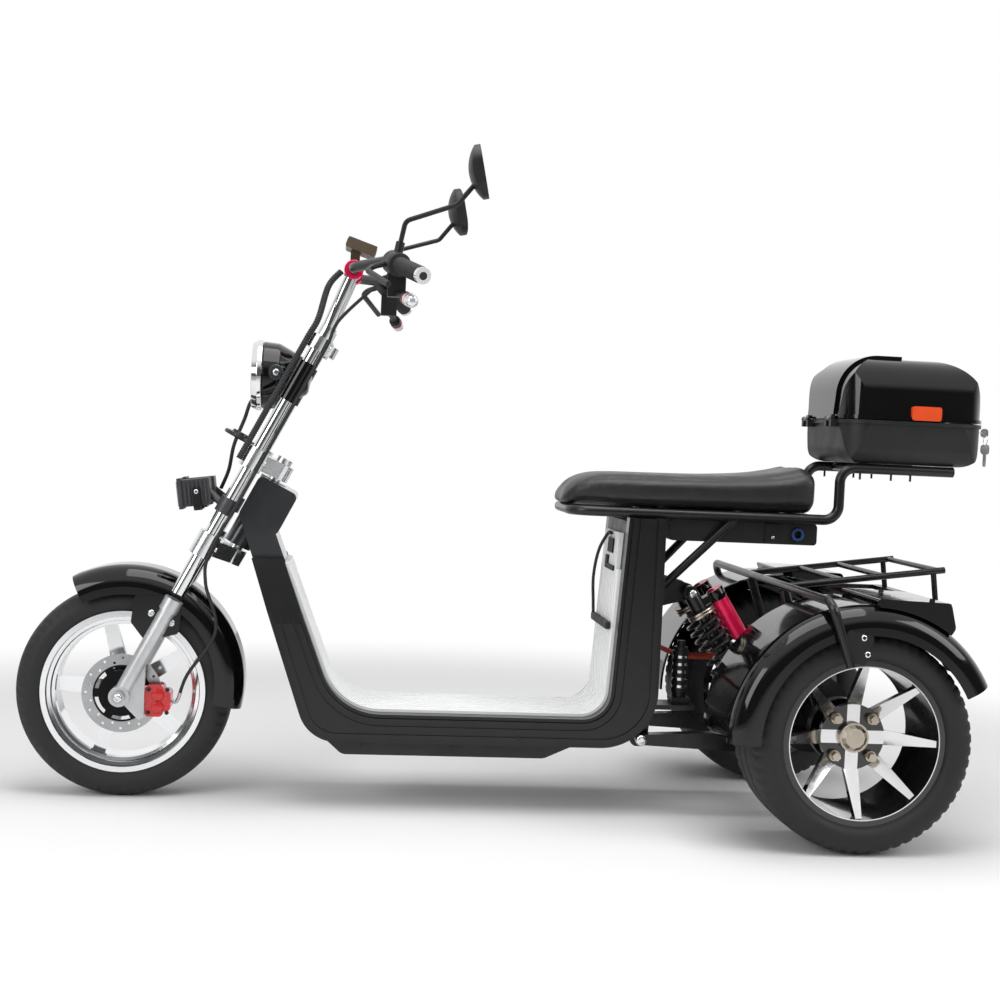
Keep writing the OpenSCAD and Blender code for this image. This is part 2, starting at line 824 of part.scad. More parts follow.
// Side outline of the top box, moved inwards by d
module box_side(d) {
    rounded(inset([[box_x0 + 16, box_z], [box_x1 - 16, box_z], [box_x1, box_seam_z],
        [box_x1 - 30, box_top_z], [box_x0 + 12, box_top_z], [box_x0, box_seam_z]], d),
        [for (r = [40, 40, 90, 100, 84, 90]) r - d]);
}

// Egg of the top box, moved inwards by d
module box_body(d) {
    z0 = box_z;
    z1 = box_top_z;
    w = box_w / 2;
    intersection() {
        across(-w - 20, w + 20)
            box_side(d);
        along(box_x0 - 20, box_x1 + 20)
            rounded(inset([[-w + 16, z0], [w - 16, z0], [w, box_seam_z], [w - 14, z1],
                [-w + 14, z1], [-w, box_seam_z]], d), [for (r = [40, 40, 80, 80, 80, 80]) r - d]);
        translate([0, 0, z0 - 20])
            linear_extrude(z1 - z0 + 40)
                box_plan(-d);
    }
}

// Rolled edge round the seam
rim_out = 4;
rim_h = 8;
module box_rim(z0) {
    translate([0, 0, z0])
        linear_extrude(rim_h)
            difference() {
                box_plan(rim_out);
                box_plan(-box_wall - 1);
            }
}

hinge_x = box_x0 - 9;
hinge_y = 80;
hinge_r = 6;
hinge_pin_r = 3;
hinge_room = 0.8;
knuckle = 16;
lid_z = box_seam_z + 1;
module box_base() {
    lip = box_seam_z - 1;
    color("#161719") {
        difference() {
            union() {
                intersection() {
                    box_body(0);
                    block([box_x0 - 20, -box_w, box_z - 20], [box_x1 + 20, box_w, lip]);
                }
                box_rim(lip - rim_h);
                for (s = sides)
                    for (y = [s * hinge_y - knuckle, s * hinge_y + knuckle]) {
                        pin_y(hinge_x, box_seam_z, y - 6, y + 6, hinge_r);
                        block([hinge_x - hinge_r + 1, y - 6, lip - 16], [box_x0 + 2, y + 6, lip]);
                    }
            }
            intersection() {
                box_body(box_wall);
                block([box_x0 - 20, -box_w, box_z - 20], [box_x1 + 20, box_w, lip + 1]);
            }
            for (s = sides)
                pin_y(hinge_x, box_seam_z, s * hinge_y - 9, s * hinge_y + 9, hinge_r + hinge_room);
            block([hinge_x + 3, -box_w, lip], [box_x0 + 10, box_w, lip + 20]);
        }
        for (s = sides)
            pin_y(hinge_x, box_seam_z, s * hinge_y - 22, s * hinge_y + 22, hinge_pin_r);
        translate([box_x1, 0, box_seam_z - 16])
            rotate([0, 90, 0])
                cylinder(h = 10, r = 10);
    }
}

// The raised panel runs up the lid's front and ends in a step on its crown
panel_half = 88;
panel_out = 6;
panel_l = 142;
module box_lid() {
    color("#0d0d0e")
        difference() {
            union() {
                intersection() {
                    box_body(0);
                    block([box_x0 - 20, -box_w, lid_z], [box_x1 + 20, box_w, box_top_z + 20]);
                }
                intersection() {
                    across(-panel_half, panel_half)
                        difference() {
                            box_side(-panel_out);
                            box_side(2);
                        }
                    block([box_x0 - 20, -box_w, lid_z + rim_h - 0.5],
                        [box_x0 + panel_l, box_w, box_top_z + 20]);
                }
                box_rim(lid_z);
                block([box_x1 - 2, -14, lid_z + 1], [box_x1 + 9, 14, lid_z + 17]);
                for (s = sides) {
                    pin_y(hinge_x, box_seam_z, s * hinge_y - 8, s * hinge_y + 8, hinge_r);
                    block([hinge_x, s * hinge_y - 8, lid_z + 0.5],
                        [box_x0 + 2, s * hinge_y + 8, lid_z + rim_h]);
                }
            }
            intersection() {
                box_body(box_wall);
                block([box_x0 - 20, -box_w, lid_z - 1], [box_x1 + 20, box_w, box_top_z + 20]);
            }
            for (s = sides) {
                for (y = [s * hinge_y - knuckle, s * hinge_y + knuckle])
                    pin_y(hinge_x, box_seam_z, y - 7, y + 7, hinge_r + hinge_room);
                pin_y(hinge_x, box_seam_z, s * hinge_y - 24, s * hinge_y + 24, hinge_pin_r + fit);
            }
        }
}

// Reflectors stand on the lid's sides, over its rolled edge
module box_reflectors() {
    w = box_w / 2;
    color("#d8341a")
        for (s = sides)
            difference() {
                across(s > 0 ? w - 20 : -w - 7, s > 0 ? w + 7 : -w + 20)
                    translate([box_x1 - 144, lid_z + 16])
                        rrect(65, 30, 6);
                box_body(-seat_gap);
                translate([0, 0, lid_z - 1])
                    linear_extrude(rim_h + 1 + seat_gap)
                        box_plan(rim_out + seat_gap);
            }
}

// Reach of the brake bracket behind the front axle
bracket_reach = 50;
module fork_lowers() {
    color("#b9bbbc")
        for (s = sides)
            difference() {
                union() {
                    in_fork()
                        translate([0, s * fork_half, -14]) {
                            cylinder(h = fork_lower_top + 14, r = fork_lower_r);
                            translate([0, 0, fork_lower_top - 14])
                                cylinder(h = 28, r = fork_collar_r);
                        }
                    pin_y(fx, front_tyre_r, s * fork_half - 19, s * fork_half + 19, 21);
                    if (s < 0)
                        across(-fork_half - 4, -fork_half + 8)
                            translate([fx, front_tyre_r])
                                rounded([[10, -20], [40, -50], [bracket_reach, -44], [bracket_reach, 60],
                                    [44, 70], [22, 40]], [4, 4, 4, 3, 3, 6]);
                }
                pin_y(fx, front_tyre_r, -150, 150, axle_r + fit);
            }
}

module fork_tubes() {
    color("#d6d8da")
        for (s = sides)
            in_fork()
                translate([0, s * fork_half, fork_lower_top + 14])
                    cylinder(h = top_clamp_s + 14 - fork_lower_top - 14, r = fork_tube_r);
}

// Collar of a clamp round a fork tube
clamp_ring_r = fork_tube_r + 9;
// One clamp: a plate between the fork tubes, reaching back to the stem, with a collar on each tube
module fork_clamp(t, back, collar) {
    difference() {
        union() {
            linear_extrude(t, center = true) {
                rounded([[-18, -fork_half], [18, -fork_half], [back + 8, -22], [back + 8, 22],
                    [18, fork_half], [-18, fork_half], [-24, 0]], [6, 6, 16, 16, 6, 6, 20]);
                translate([back, 0])
                    circle(26);
            }
            for (s = sides)
                translate([0, s * fork_half, 0])
                    cylinder(h = collar, r = clamp_ring_r, center = true);
        }
        for (s = sides)
            translate([0, s * fork_half, 0])
                cylinder(h = collar + 2, r = fork_tube_r + fit, center = true);
    }
}

top_clamp_t = 24;
module fork_clamps() {
    color("#c9cbcc")
        in_fork() {
            translate([0, 0, lower_clamp_s])
                fork_clamp(clamp_t, stem_setback, clamp_t + 18);
            translate([stem_setback, 0, lower_clamp_s])
                cylinder(h = upper_clamp_s - lower_clamp_s, r = stem_r);
            translate([0, 0, upper_clamp_s])
                fork_clamp(clamp_t, stem_setback, clamp_t + 12);
            translate([stem_setback, 0, upper_clamp_s])
                cylinder(h = clamp_t / 2 + 12, r = stem_r + 3);
            translate([0, 0, top_clamp_s])
                fork_clamp(top_clamp_t, 14, top_clamp_t + 6);
        }
}

// Point mirrored to the other side
function flip(p) = [p[0], -p[1], p[2]];
bar_mid = fork_at(-14, 0, bar_s);
grip_dir = unit([47, -135, -36]);
bar_bend = bar_mid + [70, -212, 6];
bar_end = bar_bend + grip_dir * 176;
mirror_root = bar_end - grip_dir * 142 + [8, 0, 42];
riser_y = 52;
module handlebar() {
    foot_s = top_clamp_s + top_clamp_t / 2 + seat_gap;
    color("#cfd1d3") {
        cord(bent_points([bar_end, bar_bend, bar_mid + [0, -112, 0], bar_mid + [0, 112, 0],
            flip(bar_bend), flip(bar_end)], 45, 6), bar_r, 16, [0, 0, 1]);
        for (m = [0, 1])
            mirror([0, m, 0]) {
                rod(bar_end - grip_dir * 1, bar_end + grip_dir * 10, grip_r - 1);
                rod(fork_at(0, -riser_y, foot_s + 6), bar_mid + [0, -riser_y, 0], 14);
                in_fork()
                    translate([0, -riser_y, foot_s])
                        cylinder(h = 30, r = fork_half - clamp_ring_r - riser_y - 1);
                pin_y(bar_mid[0], bar_mid[2], -riser_y - 16, -riser_y + 16, 19);
            }
    }
}

module grips() {
    color("#141414")
        for (m = [0, 1])
            mirror([0, m, 0])
                difference() {
                    union() {
                        rod(bar_end - grip_dir * 126, bar_end - grip_dir * 1.3, grip_r);
                        rod(bar_end - grip_dir * 126, bar_end - grip_dir * 118, grip_r + 7);
                    }
                    rod(bar_end - grip_dir * 140, bar_end + grip_dir * 10, bar_r + fit);
                }
}

// Switch block, brake lever and indicator on each side of the bar
module hand_controls() {
    mount = bar_end - grip_dir * 142;
    lamp_arm = [25, -93, -22];
    lamp = mount + [5, 6, -58] + lamp_arm;
    color("#1a1a1b")
        for (m = [0, 1])
            mirror([0, m, 0])
                difference() {
                    union() {
                        rod(bar_end - grip_dir * 158, bar_end - grip_dir * 127, 24);
                        cord(bent_points([mount + [-18, 0, 0],
                            bar_end - grip_dir * 136 + [-62, 0, -14],
                            bar_end - grip_dir * 10 + [-58, 0, -22]], 20, 6), 6, 10, [0, 0, 1]);
                        block(mount + [-14, -2, -66], mount + [22, 20, -16]);
                        rod(mount + [5, 6, -58], lamp, 6);
                        rod(lamp - unit(lamp_arm) * 36, lamp, 13);
                        rod(mount, mirror_root, 9);
                    }
                    rod(bar_end - grip_dir * 170, bar_end, bar_r + fit);
                }
}

// Display on the middle of the bar, tilted toward the rider
module display() {
    clamp_half = 14;
    color("#17181a")
        difference() {
            union() {
                pin_y(bar_mid[0], bar_mid[2], -clamp_half, clamp_half, bar_r + 6);
                block(bar_mid + [-8, -clamp_half, 6], bar_mid + [12, clamp_half, 46]);
                translate(bar_mid + [14, 0, 52])
                    rotate([0, 18, 0])
                        across(-40, 40)
                            rrect(66, 22, 6);
            }
            pin_y(bar_mid[0], bar_mid[2], -clamp_half - 1, clamp_half + 1, bar_r + fit);
        }
}

mirror_at = [bar_mid[0] + 236, -268, bar_mid[2] + 182];
mirror_tilt = 12;
module mirrors() {
    root = mirror_root + unit([8, 0, 42]) * seat_gap;
    color("#101011")
        for (m = [0, 1])
            mirror([0, m, 0]) {
                cord(bent_points([root, root + [8, 0, 42], mirror_at + [-40, -2, -66],
                    mirror_at + [-4, 0, -20]], 16, 4), 5, 10);
                translate(mirror_at)
                    rotate([0, 90 - mirror_tilt, -8])
                        difference() {
                            intersection() {
                                translate([0, 0, -24])
                                    linear_extrude(36)
                                        rrect(108, 78, 38);
                                translate([0, 0, 62])
                                    sphere(82);
                            }
                            translate([0, 0, 8])
                                linear_extrude(10)
                                    rrect(98, 68, 33);
                        }
            }
}

module mirror_glass() {
    color("#b8c4cc")
        for (m = [0, 1])
            mirror([0, m, 0])
                translate(mirror_at)
                    rotate([0, 90 - mirror_tilt, -8])
                        translate([0, 0, 8 + seat_gap])
                            linear_extrude(3)
                                rrect(97, 67, 32.5);
}

// Room for a fork tube in what is clamped on it
module tube_bore(s, from_s, h) {
    in_fork()
        translate([0, s * fork_half, from_s])
            cylinder(h = h, r = fork_tube_r + fit);
}

// Headlamp between the fork tubes, facing forward
lamp_at = fork_at(-86, 0, 716);
lamp_bracket_s = 700;
module headlamp_bowl() {
    color("#151516") {
        translate(lamp_at + [14, 0, 0])
            rotate([0, 90, 0])
                rotate_extrude()
                    rounded([[0.1, 0], [lamp_r - 3, 0], [lamp_r - 6, 34], [36, 96], [0.1, 104]],
                        [0.05, 3, 20, 16, 0.05]);
        for (s = sides)
            difference() {
                union() {
                    in_fork()
                        translate([0, s * fork_half, lamp_bracket_s])
                            cylinder(h = 90, r = fork_tube_r + 4);
                    rod(fork_at(-16, s * (fork_half - 4), lamp_bracket_s + 40),
                        lamp_at + [52, s * (lamp_r - 24), 4], 9);
                }
                tube_bore(s, lamp_bracket_s - 5, 100);
            }
    }
}

module headlamp_rim() {
    color("#dadcde")
        translate(lamp_at)
            rotate([0, 90, 0])
                rotate_extrude()
                    rounded([[lamp_r - 11, -8], [lamp_r - 6, -8], [lamp_r, 4], [lamp_r, 13.7],
                        [lamp_r - 11, 13.7]], [2, 2, 4, 2, 2]);
}

module headlamp_lens() {
    color("#e6eef2")
        translate(lamp_at)
            rotate([0, 90, 0])
                intersection() {
                    translate([0, 0, -8])
                        cylinder(h = 20, r = lamp_r - 11 - seat_gap);
                    translate([0, 0, 170])
                        sphere(180);
                }
}

module aux_lamps() {
    color("#161718")
        for (s = sides) {
            translate(fork_at(-50, s * 62, lower_clamp_s + 100))
                rotate([0, -8, 0]) {
                    translate([-56, -26, -30])
                        cube([60, 52, 56]);
                    translate([-62, -30, -34])
                        cube([8, 60, 64]);
                }
            difference() {
                union() {
                    rod(fork_at(-14, s * (fork_half - 14), lower_clamp_s + 90),
                        fork_at(-60, s * 62, lower_clamp_s + 100), 8);
                    in_fork()
                        translate([0, s * fork_half, lower_clamp_s + 74])
                            cylinder(h = 34, r = fork_tube_r + 5);
                }
                tube_bore(s, lower_clamp_s + 70, 60);
            }
        }
}

guard_centre = [3, 20];
front_guard_r = front_tyre_r + 18;
// Room between the fork legs, and half the width of the mudguard in it
leg_in_y = fork_half - fork_collar_r - seat_gap;
front_guard_half = leg_in_y - 1.7;
module front_guard() {
    h = front_guard_half;
    t = 4;
    deep = 56;
    color("#0c0c0d") {
        translate([fx + guard_centre[0], 0, front_tyre_r + guard_centre[1]])
            rotate([90, 0, 0])
                rotate([0, 0, -12])
                    rotate_extrude(angle = 130)
                        difference() {
                            rounded([[front_guard_r - 90, -h], [front_guard_r + t, -h],
                                [front_guard_r + t, h], [front_guard_r - 90, h]], [2, 44, 44, 2]);
                            rounded([[front_guard_r - 99, -h + t], [front_guard_r, -h + t],
                                [front_guard_r, h - t], [front_guard_r - 99, h - t]], [2, 40, 40, 2]);
                            translate([0, -h - 1])
                                square([front_guard_r - deep, 2 * h + 2]);
                        }
        for (s = sides)
            across(s > 0 ? h - 1 : -leg_in_y, s > 0 ? leg_in_y : -h + 1)
                translate([fx, front_tyre_r])
                    rounded([[44, 112], [112, 128], [120, front_guard_r - 33], [20, front_guard_r - 37],
                        [14, 150]], [8, 8, 8, 8, 8]);
    }
}

caliper_at = [fx + bracket_reach + seat_gap + 19, front_tyre_r - 10];
disc_y = -66;
disc_t = 4;
module brake_caliper() {
    color("#c81f1c")
        difference() {
            across(-fork_half + 2, -fork_half + 50)
                translate(caliper_at) {
                    rrect(38, 66, 9);
                    translate([14, 0])
                        rrect(40, 44, 10);
                }
            translate([fx, disc_y - disc_t / 2 - 5.5, front_tyre_r])
                rotate([-90, 0, 0])
                    cylinder(h = disc_t + 11, r = disc_r + 6);
        }
}

module front_axle() {
    color("#c0c2c4") {
        pin_y(fx, front_tyre_r, -fork_half - 30, fork_half + 30, axle_r);
        for (s = sides)
            pin_y(fx, front_tyre_r, s > 0 ? fork_half + 19 + seat_gap : -fork_half - 31,
                s > 0 ? fork_half + 31 : -fork_half - 19 - seat_gap, 13);
    }
}

hose_r = 3.5;
loom_r = 7;
// Both cords lie along the clamps' collars, the hose behind the leg and the loom before it
function beside_leg(x, r) = -fork_half - sqrt(pow(clamp_ring_r + seat_gap + r, 2) - x * x);
hose_x = 17;
hose_y = beside_leg(hose_x, hose_r);
loom_x = -26;
loom_y = beside_leg(loom_x, loom_r);
module hoses() {
    outlet_x = caliper_at[0] + 34 + seat_gap;
    color("#131313") {
        smooth_cord([[outlet_x, -78, caliper_at[1]], [outlet_x + 12, -78, caliper_at[1]],
            [fx + 134, -84, front_tyre_r + 44], [fx + 190, -96, front_tyre_r + 140],
            fork_at(40, -112, 290), fork_at(hose_x, hose_y, lower_clamp_s - 10),
            fork_at(hose_x, hose_y, 460), fork_at(hose_x, hose_y, upper_clamp_s),
            fork_at(hose_x, hose_y, 700), fork_at(hose_x, hose_y, top_clamp_s), fork_at(14, -126, 900),
            bar_end - grip_dir * 190 + [0, 0, -34], bar_end - grip_dir * 158.5 + [0, 0, -16]], hose_r, 72);
        smooth_cord([fork_at(loom_x, loom_y, upper_clamp_s - 14), fork_at(loom_x, loom_y, 640),
            fork_at(loom_x, loom_y, 740), fork_at(loom_x, loom_y, top_clamp_s),
            fork_at(loom_x, loom_y, 880), fork_at(-42, -80, 950), bar_mid + [-26, -72, -6]], loom_r, 36);
    }
}

lip_h = 5;
// Half the width between the front rim's flanges
bead_half = front_tyre_w / 2 - 14;
module front_tyre() {
    w = front_tyre_w;
    r1 = front_tyre_r;
    r0 = front_rim_r + seat_gap;
    bead = front_rim_r + lip_h + 2;
    color("#1b1b1b")
        translate([fx, 0, front_tyre_r])
            rotate([90, 0, 0])
                rotate_extrude()
                    union() {
                        rounded([[bead, -w / 2 + 6], [r1 - 16, -w / 2], [r1, -20], [r1, 20],
                            [r1 - 16, w / 2], [bead, w / 2 - 6]], [4, 20, 26, 26, 20, 4]);
                        translate([r0, -bead_half + seat_gap])
                            square([bead - r0 + 5, 2 * (bead_half - seat_gap)]);
                    }
}

// Polished dish stepped down from its flanges, with flat spokes on a round hub
module front_rim() {
    lip = bead_half + 7;
    r = front_rim_r;
    hub_half = 52;
    spoke_phase = 33;
    edge = [[r, bead_half], [r + lip_h, bead_half], [r + lip_h, lip], [r - 6, lip], [r - 8, lip - 6],
        [r - 15, lip - 8], [r - 17, lip - 15], [r - 23, lip - 17], [r - 25, lip - 24]];
    other = [for (i = [len(edge) - 1 : -1 : 0]) [edge[i][0], -edge[i][1]]];
    color("#dfe1e3")
        translate([fx, 0, front_tyre_r])
            rotate([90, 0, 0])
                difference() {
                    union() {
                        rotate_extrude()
                            polygon(concat(edge, other));
                        cylinder(h = 2 * hub_half, r = 34, center = true);
                        linear_extrude(18, center = true)
                            for (i = [0 : front_spokes - 1])
                                rotate(i * 360 / front_spokes + spoke_phase)
                                    polygon([[20, -18], [r - 22, -13], [r - 22, 13], [20, 18]]);
                    }
                    cylinder(h = 300, r = axle_r + fit, center = true);
                }
}

module brake_disc() {
    holes = 24;
    carrier_r = 48;
    color("#9a9c9e")
        translate([fx, disc_y, front_tyre_r])
            rotate([90, 0, 0])
                difference() {
                    union() {
                        difference() {
                            cylinder(h = disc_t, r = disc_r, center = true);
                            cylinder(h = disc_t + 2, r = disc_r - 26, center = true);
                        }
                        cylinder(h = disc_t + 2, r = carrier_r, center = true);
                        for (i = [0 : 5])
                            rotate([0, 0, 60 * i])
                                translate([carrier_r - 6, -9, -disc_t / 2])
                                    cube([disc_r - 20 - carrier_r + 6, 18, disc_t]);
                        translate([0, 0, -13.7])
                            cylinder(h = 12, r = 30);
                    }
                    for (i = [0 : holes - 1])
                        rotate([0, 0, i * 360 / holes])
                            translate([disc_r - (i % 2 == 0 ? 8 : 17), 0, 0])
                                cylinder(h = disc_t + 2, r = 3, center = true);
                    cylinder(h = 60, r = axle_r + fit, center = true);
                }
}

// Rear wheel pieces are drawn about their own axis, z outwards
module at_rear_wheel(s) {
    translate([rx, s * rear_y, rear_tyre_r])
        rotate([s > 0 ? -90 : 90, 0, 0])
            children();
}

rim_half = rear_tyre_w / 2 - 18;
module rear_tyre(s) {
    w = rear_tyre_w;
    r1 = rear_tyre_r;
    bead = rear_rim_r + lip_h + 2;
    color("#1a1a1a")
        at_rear_wheel(s)
            rotate_extrude()
                union() {
                    rounded([[bead, -w / 2 + 6], [r1 - 14, -w / 2], [r1, -w / 2 + 26], [r1, w / 2 - 26],
                        [r1 - 14, w / 2], [bead, w / 2 - 6]], [4, 18, 18, 18, 18, 4]);
                    translate([rear_rim_r + seat_gap, -rim_half + 7 + seat_gap])
                        square([bead - rear_rim_r + 5, 2 * (rim_half - 7 - seat_gap)]);
                }
}

hub_disc_r = 66;
hub_z0 = -42;
hub_z1 = 16;
module rear_rim(s) {
    r = rear_rim_r;
    lip = rim_half;
    color("#0f0f10")
        at_rear_wheel(s)
            difference() {
                union() {
                    rotate_extrude() {
                        translate([r - 9, -lip])
                            square([9, 2 * lip]);
                        for (e = [-lip, lip - 7])
                            translate([r - 9, e])
                                square([9 + lip_h, 7]);
                    }
                    translate([0, 0, hub_z0])
                        cylinder(h = hub_z1 - hub_z0, r = 40);
                    translate([0, 0, hub_z1 - 16])
                        cylinder(h = 16, r = hub_disc_r);
                    intersection() {
                        rotate_extrude()
                            polygon([[30, hub_z1 - 16], [hub_disc_r - 4, hub_z1 - 16], [r - 8, lip - 34],
                                [r - 4, lip - 34], [r - 4, lip - 12], [r - 8, lip - 12],
                                [hub_disc_r, hub_z1], [30, hub_z1]]);
                        translate([0, 0, hub_z0])
                            linear_extrude(200)
                                for (i = [0 : rear_spokes - 1])
                                    rotate(i * 360 / rear_spokes)
                                        polygon([[30, -11], [hub_disc_r, -15], [r - 5, -6], [r - 5, 6],
                                            [hub_disc_r, 15], [30, 11]]);
                    }
                }
                translate([0, 0, hub_z0 - 1])
                    cylinder(h = stub_end - rear_y + 6 - hub_z0, r = stub_r + fit);
            }
}

module rear_nuts(s) {
    color("#b9a98c")
        at_rear_wheel(s)
            translate([0, 0, hub_z1 + seat_gap]) {
                cylinder(h = 12, r = 30);
                translate([0, 0, 11])
                    cylinder(h = 7, r1 = 28, r2 = 20, $fn = 12);
                for (i = [0 : 3])
                    rotate([0, 0, 45 + 90 * i])
                        translate([lug_circle_r, 0, 0]) {
                            cylinder(h = 8, r = 11);
                            cylinder(h = 22, r = 9, $fn = 6);
                        }
            }
}

side_rails();
floor_pan();
floor_mat();
riser_strap();
belly_case();
neck();
rear_post();
seat_frame();
seat();
battery_box();
canister();
swingarm();
axle_housing();
shock_springs();
shock_bodies();
shock_reservoirs();
motor_cables();
rear_guards();
guard_bar();
rack();
tail_lamp();
box_carrier();
box_base();
box_reflectors();
box_lid();
fork_lowers();
fork_tubes();
fork_clamps();
handlebar();
grips();
hand_controls();
display();
mirrors();
mirror_glass();
headlamp_bowl();
headlamp_rim();
headlamp_lens();
aux_lamps();
front_guard();
brake_caliper();
front_axle();
hoses();
front_tyre();
front_rim();
brake_disc();
rear_tyre(-1);  // rear_tyre_left
rear_rim(-1);  // rear_rim_left
rear_nuts(-1);  // rear_nuts_left
rear_tyre(1);  // rear_tyre_right
rear_rim(1);  // rear_rim_right
rear_nuts(1);  // rear_nuts_right
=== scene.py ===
# %% [markdown]
# # Dressing a three-wheeled electric scooter
# The solids of the scooter come from its CAD model. This lesson adds what a camera sees close up:
# tyre tread, a stuffed seat, bolts, ribbed grips and the finish of every surface.
# The model is loaded first. Nothing added may make the scooter larger.

# %% Load the solids
import json

import bmesh
import bpy
import numpy as np
from mathutils import Matrix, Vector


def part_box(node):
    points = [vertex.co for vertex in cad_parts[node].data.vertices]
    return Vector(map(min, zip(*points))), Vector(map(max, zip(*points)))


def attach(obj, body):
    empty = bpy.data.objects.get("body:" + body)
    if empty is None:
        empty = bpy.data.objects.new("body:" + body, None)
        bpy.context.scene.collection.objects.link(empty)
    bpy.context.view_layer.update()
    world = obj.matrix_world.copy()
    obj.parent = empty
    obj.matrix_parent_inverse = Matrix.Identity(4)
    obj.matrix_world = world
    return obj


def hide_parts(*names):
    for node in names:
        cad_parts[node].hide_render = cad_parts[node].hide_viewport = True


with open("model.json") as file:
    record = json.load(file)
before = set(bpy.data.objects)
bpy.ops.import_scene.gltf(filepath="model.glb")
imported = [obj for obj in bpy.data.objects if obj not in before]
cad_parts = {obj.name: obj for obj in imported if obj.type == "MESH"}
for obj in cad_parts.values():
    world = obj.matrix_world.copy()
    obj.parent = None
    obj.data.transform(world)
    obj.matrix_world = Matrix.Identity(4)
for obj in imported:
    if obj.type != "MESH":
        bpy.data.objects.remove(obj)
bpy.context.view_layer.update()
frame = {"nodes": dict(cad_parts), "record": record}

MM = 0.001
solids = frame["nodes"]

# %% [markdown]
# ## Places on the scooter
# Pieces are placed from the solids themselves: the front axle, the rake of the fork and the rear axle
# give every other place. The axles are measured from the loaded boxes, which keeps one source for each size, and the
# rake is given.

# %% Axles and the fork's own directions
LEFT, RIGHT, UP, REAR, FRONT = np.array([[0, -1, 0], [0, 1, 0], [0, 0, 1], [1, 0, 0], [-1, 0, 0]], float)
SIDES = ((-1, LEFT), (1, RIGHT))
MIRROR = np.array([1, -1, 1])
RAKE = np.radians(27.0)


def middle(node):
    """Centre of a solid's box, in millimetres."""
    low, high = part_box(node)
    return (np.array(low) + np.array(high)) / 2 / MM


front_axle = middle("front_axle")
rear_axle = middle("rear_rim_left") * [1, 0, 1]
rear_y = abs(middle("rear_tyre_left")[1])
fork_up = np.array([np.sin(RAKE), 0.0, np.cos(RAKE)])
fork_back = np.array([np.cos(RAKE), 0.0, -np.sin(RAKE)])


def on_fork(back, side, up):
    """Point in millimetres: back from the fork legs, to the side, and up along them from the axle."""
    return front_axle + fork_back * back + RIGHT * side + fork_up * up


print("front axle", front_axle.round(1), "rear axle", rear_axle.round(1))

# %% [markdown]
# ## Camera
# The photograph was fitted by measurements: the camera stands three metres off the left side,
# a little ahead of the middle, looks slightly down, and is rolled by under three degrees.

# %% Camera at the photograph's angle
CAMERA_AT = np.array([front_axle[0] + 428.1, -3228.7, 783.6]) * MM
YAW, PITCH, ROLL = 0.109, 0.039, 0.045
SENSOR_MM, FOCAL_SHARE = 36.0, 1.495


def unit(vector):
    """Vector (or rows of vectors) of length one."""
    vector = np.asarray(vector, float)
    return vector / np.linalg.norm(vector, axis=-1, keepdims=True)


def add_object(name, data):
    """New object at the origin, linked into the scene."""
    thing = bpy.data.objects.new(name, data)
    bpy.context.scene.collection.objects.link(thing)
    return thing


def turned_to(place, *axes):
    """Matrix at a place in metres with the given right, up and back directions as its columns."""
    return Matrix.Translation(place) @ Matrix(np.column_stack(axes).tolist()).to_4x4()


ahead = np.array([np.sin(YAW), np.cos(YAW), 0.0])
right = np.array([np.cos(YAW), -np.sin(YAW), 0.0])
look = ahead * np.cos(PITCH) - UP * np.sin(PITCH)
tilted_up = UP * np.cos(PITCH) + ahead * np.sin(PITCH)
image_right = right * np.cos(ROLL) + tilted_up * np.sin(ROLL)
image_up = tilted_up * np.cos(ROLL) - right * np.sin(ROLL)

camera_data = bpy.data.cameras.new("photo_camera")
camera_data.sensor_width = SENSOR_MM
camera_data.lens = SENSOR_MM * FOCAL_SHARE
camera = add_object("photo_camera", camera_data)
camera.matrix_world = turned_to(CAMERA_AT, image_right, image_up, -look)
bpy.context.scene.camera = camera
bpy.context.scene.view_settings.view_transform = "Standard"
print("camera lens", round(camera_data.lens, 1), "mm at", CAMERA_AT.round(3))

# %% [markdown]
# ## Node wiring
# Every finish is a small node tree. One helper makes a node, sets its properties and connects or
# fills its inputs, so that a finish reads as a recipe instead of a page of link calls.

# %% Helpers to wire shader nodes
def wire(tree, kind, inputs=None, out=0, **settings):
    """New shader node: settings are its properties, inputs are values or sockets to link from.

    Gives the output that out names, or all of them where out is None.
    """
    node = tree.nodes.new("ShaderNode" + kind)
    for key, value in settings.items():
        setattr(node, key, value)
    for key, value in (inputs or {}).items():
        if isinstance(value, bpy.types.NodeSocket):
            tree.links.new(value, node.inputs[key])
        else:
            node.inputs[key].default_value = value
    return node.outputs if out is None else node.outputs[out]


def calc(tree, operation, first, second=0.0):
    """One sum on numbers or sockets."""
    return wire(tree, "Math", {0: first, 1: second}, operation=operation)


def spread(tree, value, low, high, start=0.3, stop=0.7, **settings):
    """Value between start and stop drawn out to the range from low to high."""
    return wire(tree, "MapRange", {"Value": value, "From Min": start, "From Max": stop, "To Min": low,
                                   "To Max": high}, **settings)


def smooth_rise(tree, value, start, stop):
    """Smooth step from 0 at start to 1 at stop."""
    return spread(tree, value, 0.0, 1.0, start, stop, interpolation_type="SMOOTHSTEP")


# %% [markdown]
# ## Studio
# A pale floor and a white surround, as in a product photograph. Polished metal needs something darker
# to reflect than white, so the surround is dim towards the viewer's side for reflections only, the way
# a studio is dark behind the camera. Soft lamps stay at a plain level.

